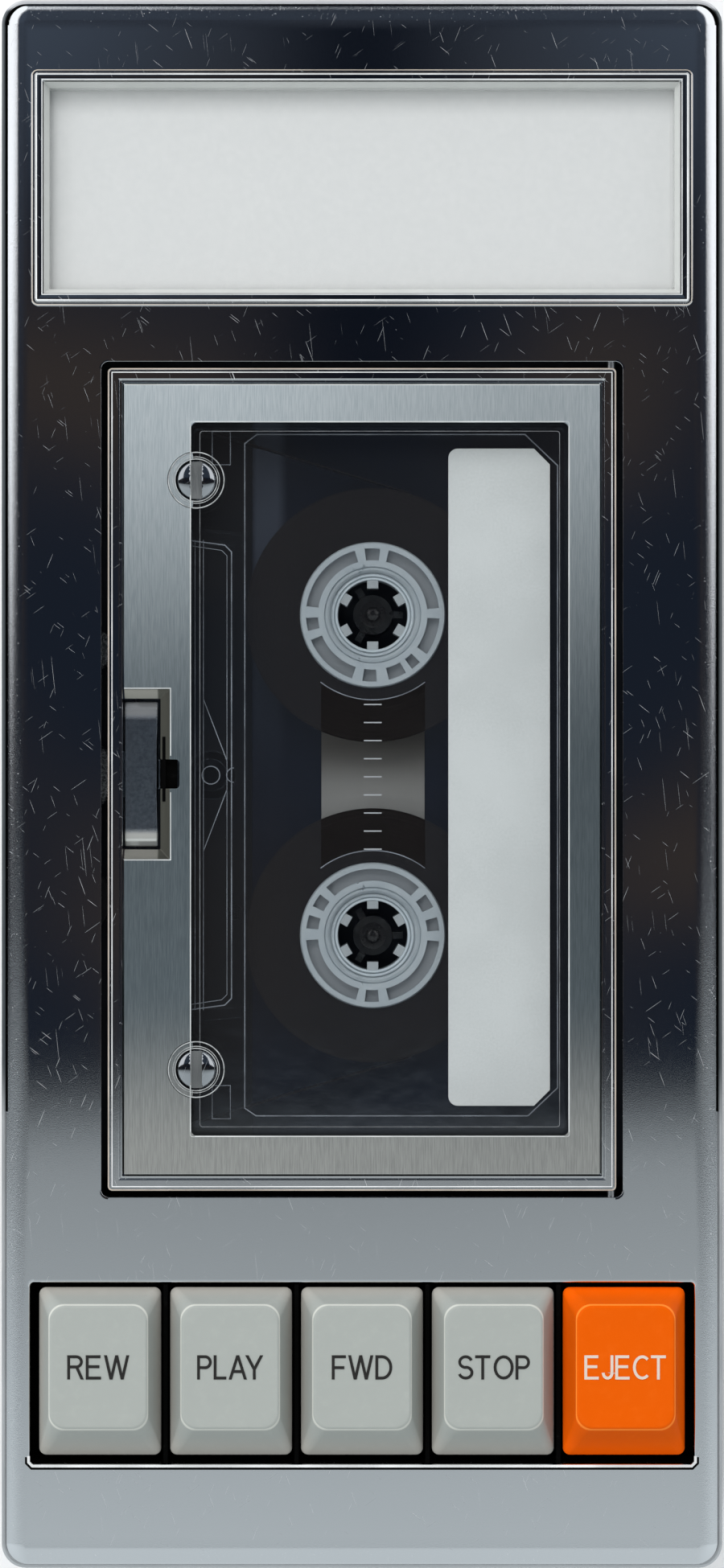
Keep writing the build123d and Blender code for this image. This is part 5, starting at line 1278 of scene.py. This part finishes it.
# Painted highlights: the rims and the step line are half-clear grey lines on the clear window.
lens_line = Finish("window rims", Base_Color=(0.52, 0.54, 0.54), Roughness=0.25, Alpha=0.5)
step_line = Finish("window step", Base_Color=(0.24, 0.25, 0.26), Roughness=0.25, Alpha=0.4)
step_line.give("Alpha", step_line.between(step_line.noise(step_line.place(), 0.6, 3.0), 0.3, 0.7, 0.25, 0.55))
rim_noise = lens_line.noise(lens_line.place(), 0.6, 3.0)
lens_line.give("Alpha", lens_line.between(rim_noise, 0.3, 0.7, 0.25, 0.75))
step_top = plate_box[4] + 0.65
form = bmesh.new()
opening = (-22.4, 27.05, -46.1, 47.4)
hoop(form, inside(opening, 1.13), 0.4, 0.0, 0.08, step_top - 0.1, step_top + 0.03)
lens_step = piece("door_lens_step", form, step_line.material)
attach(lens_step, "door")

# Painted highlights: pale lines along the window opening, the latch recess and the plate's upper edge.
form = bmesh.new()
plate_top = plate_box[5]
moulding(form, inside(opening, -0.13), 0.4, [
    (0.0, plate_top - 0.3), (0.0, plate_top + 0.015), (0.13, plate_top - 0.02), (0.16, plate_top - 0.3),
])
recess_low, recess_high = latch_box[2] - 1.72, latch_box[3] + 1.72
edge_heights = (plate_top - 0.1, plate_top + 0.015)
recess_middle = (recess_low + recess_high) / 2
for y, end in ((recess_low, -2.4), (recess_high, 2.4)):
    outline = [(plate_box[0], y), (recess_x, y), (recess_x, recess_middle + end)]
    rib(form, outline, 0.12, *edge_heights)
upper_edge = [(plate_box[0] + 0.1, plate_box[3] - 0.06), (plate_box[1] - 0.1, plate_box[3] - 0.06)]
rib(form, upper_edge, 0.14, *edge_heights)
painted_plate_highlight = zinc("cut edge", (0.74, 0.76, 0.75), 0.38, (3.0, 3.0, 1.0), 0.3)
plate_edge = piece("door_plate_edge", form, painted_plate_highlight)
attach(plate_edge, "door")

screw_span = span("lens_screws")
screw_x = (screw_span[0] + screw_span[1]) / 2
screw_from_end = 2.6
screw_ys = (screw_span[3] - screw_from_end, screw_span[2] + screw_from_end)
form = bmesh.new()
for y in screw_ys:
    for radius, width in ((3.58, 0.13), (3.0, 0.09), (2.72, 0.12)):
        collar(form, (screw_x, y), radius, width, plate_top - 0.2, plate_top + 0.03)
lens_rims = piece("door_lens_rims", form, lens_line.material)
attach(lens_rims, "door")
form = bmesh.new()
for y in screw_ys:
    sector(form, (screw_x, y), 2.74, 3.6, plate_top - 0.22, plate_top - 0.12, 98, 262)
seats = piece("door_lens_seats", form, brushed.material)
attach(seats, "door")

# Lens screws
# Two chromed screws with a domed head and a broad slot, through the bosses of the window.

dome = 2.55
seat = screw_span[5] - 0.9
form = bmesh.new()
for y in screw_ys:
    profile = [(0, screw_span[4]), (0.9, screw_span[4]), (0.9, seat), (dome, seat), (dome, seat + 0.12)]
    for step in range(1, 9):
        turn = math.radians(90 * step / 8)
        profile.append((dome * math.cos(turn) if step < 8 else 0, seat + 0.12 + 0.75 * math.sin(turn)))
    turned(form, profile, (screw_x, y), 64)
# Painted shade: the screws' chrome is given a darker tone than the trim's.
screw_chrome = polished("screw chrome", (0.42, 0.44, 0.46), 0.08, 0.3)
lens_screws = piece("lens_screws.finished", form, screw_chrome, 40)
form = bmesh.new()
for y in screw_ys:
    bar(form, screw_x - 0.75, screw_x + 0.75, y - 4, y + 4, seat + 0.3, seat + 3)
lens_screws = carved(lens_screws, piece("slots", form, screw_chrome), 40)
form = bmesh.new()
for y in screw_ys:
    bar(form, screw_x - 0.74, screw_x + 0.74, y - 2.42, y + 2.42, seat + 0.1, seat + 0.34)
slot_floors = piece("lens_screw_slots", form, zinc("slot floor", (0.50, 0.50, 0.49), 0.5, (6.0, 0.5, 1.0)))
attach(slot_floors, "door")
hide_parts("lens_screws")
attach(lens_screws, "door")

# Latch
# A polished finger bar in the plate's left edge, with its tongue under the plate.

bar_steel = Finish("latch bar", Base_Color=(0.38, 0.42, 0.47), Metallic=1.0, Roughness=0.24)
latch_y = (latch_box[2] + latch_box[3]) / 2
bend = (7.0, 8.0)
# Painted reflection: the bar's bent ends are painted, the one at -y pale and the one at +y dark.
bar_along = bar_steel.axis(bar_steel.place(centre=(0, latch_y, 0)), 1)
bar_ends = bar_steel.colours(bar_steel.between(bar_along, -1.0, 1.0), (0.60, 0.61, 0.58), (0.30, 0.31, 0.32))
bar_steel.tint(bar_steel.between(abs(bar_along), *bend), (0.42, 0.47, 0.535), bar_ends)
bar_steel.give("Metallic", bar_steel.between(abs(bar_along), *bend, 1.0, 0.6))
bar_marks = bar_steel.noise(bar_steel.place(), 2.4, 3.0)
bar_steel.give("Roughness", bar_steel.between(bar_marks, 0.3, 0.7, 0.20, 0.24))
latch = softened("door_latch", bar_steel.material, 0.28, 4)
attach(latch, "latch")
# Painted shade: a black face on the tongue, in the key tray's black.
form = bmesh.new()
tongue_half = 1.88
bar(form, latch_box[1] - 2.3, latch_box[1] - 0.02, latch_y - tongue_half, latch_y + tongue_half,
    latch_box[5] - 0.3, latch_box[5] - 0.17)
tongue = piece("latch_tongue_face", form, tray_black.material)
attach(tongue, "latch")
# Painted shadow: black bars in the slit beside the latch recess.
form = bmesh.new()
slot_x0, slot_x1 = recess_x - 1.11, recess_x - 0.69
bar(form, slot_x0, slot_x1, latch_y - 3.6, latch_y + 4.9, plate_box[4] + 0.1, plate_box[4] + 0.55)
slots = piece("latch_recess_slots", form, tray_black.material)
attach(slots, "door")

# Table, light and camera
# A pale table top, a dark ceiling with bright walls that the chrome mirrors, and soft lamps.
# The table is clear from below, so that the back can be seen.

table_white = Finish("table top", Base_Color=(0.86, 0.86, 0.86), Roughness=0.8)
below = table_white.node("ShaderNodeNewGeometry", output="Backfacing")
glass = table_white.node("ShaderNodeBsdfTransparent")
surface = Term(table_white, table_white.surface.outputs[0])
mixed = table_white.node("ShaderNodeMixShader", None, {0: below, 1: surface, 2: glass})
output = next(n for n in table_white.tree.nodes if n.type == "OUTPUT_MATERIAL")
table_white.tree.links.new(mixed.socket, output.inputs["Surface"])
form = bmesh.new()
reach = 1500
form.faces.new([form.verts.new((x * reach, y * reach, 0)) for x, y in ((-1, -1), (1, -1), (1, 1), (-1, 1))])
table = piece("table", form, table_white.material)
table.visible_glossy = False

world = bpy.data.worlds.new("studio")
bpy.context.scene.world = world
world.use_nodes = True
studio = Graph(world.node_tree)
background = next(n for n in world.node_tree.nodes if n.type == "BACKGROUND")
towards = studio.node("ShaderNodeTexCoord", output="Generated")
across, north, up = (studio.node("ShaderNodeSeparateXYZ", None, {0: towards}, output=n) for n in range(3))
across, steep = abs(across), abs(up)


def ramp(value, low, high):
    """A smooth step of value, from low to high."""
    smooth = {"interpolation_type": "SMOOTHSTEP"}
    return studio.node("ShaderNodeMapRange", smooth, {0: value, 1: low, 2: high})


def blended(factor, first, second):
    """A colour run from first to second by factor."""
    return studio.node("ShaderNodeMix", {"data_type": "RGBA"}, {0: factor, 6: first, 7: second}, output=2)


wobble = studio.node("ShaderNodeTexNoise", None, {"Vector": towards, "Scale": 22.0, "Detail": 3.0})
brown = studio.node("ShaderNodeTexNoise", None, {"Vector": towards, "Scale": 16.0, "Detail": 2.0})
room = blended(ramp(brown, 0.46, 0.66), (0.010, 0.014, 0.023), (0.036, 0.029, 0.026))
ceiling = blended(ramp(across, 0.035, 0.075), (0.030, 0.037, 0.050), (0.050, 0.064, 0.088))
room = blended(ramp(north, 0.125, 0.18), room, ceiling)
room = blended(ramp(across, 0.006, 0.034), (0.004, 0.006, 0.011), room)
sides = ramp(across - 0.07 * steep - 0.42 * ramp(steep, 0.18, 0.8), 0.050, 0.080)
boxes = ramp(north - 0.15 * up * up, 0.047, 0.059) * sides
room = blended(boxes, room, (1.15, 1.17, 1.20))
slope = studio.node("ShaderNodeMapRange", None, {0: north * -1.0, 1: 0.08, 2: 0.22, 3: 0.27, 4: 0.60})
wall = studio.node("ShaderNodeVectorMath", {"operation": "SCALE"}, {
    0: (0.92, 1.0, 1.04), "Scale": slope + 0.14 * across,
})
seen = blended(ramp(north * -1.0 + 0.004 * wobble, 0.0798, 0.0822), room, wall)
plain = studio.node("ShaderNodeLightPath", output="Is Camera Ray")
light = blended(plain, seen, (0.93, 0.93, 0.93))
world.node_tree.links.new(light.socket, background.inputs["Color"])

for name, place, width, length, energy in (
    ("upper lamp", (-0.1, 0.80, 1.0), 0.9, 0.5, 9.0),
    ("overhead lamp", (-0.5, 0.0, 1.2), 1.2, 1.2, 9.5),
):
    lamp = bpy.data.lights.new(name, "AREA")
    lamp.shape = "RECTANGLE"
    lamp.size = width
    lamp.size_y = length
    lamp.energy = energy
    soft_box = bpy.data.objects.new(name, lamp)
    soft_box.location = place
    soft_box.rotation_euler = Vector(place).to_track_quat("Z", "Y").to_euler()
    soft_box.visible_glossy = False
    soft_box.visible_camera = False
    bpy.context.scene.collection.objects.link(soft_box)

camera_data = bpy.data.cameras.new("camera")
camera_data.lens = 96.4
camera_data.sensor_width = 36.0
camera_data.clip_start = 0.01
camera = bpy.data.objects.new("camera", camera_data)
camera.location = (0.0, 0.0, 0.590)
bpy.context.scene.collection.objects.link(camera)
bpy.context.scene.camera = camera
bpy.context.scene.view_settings.view_transform = "Standard"
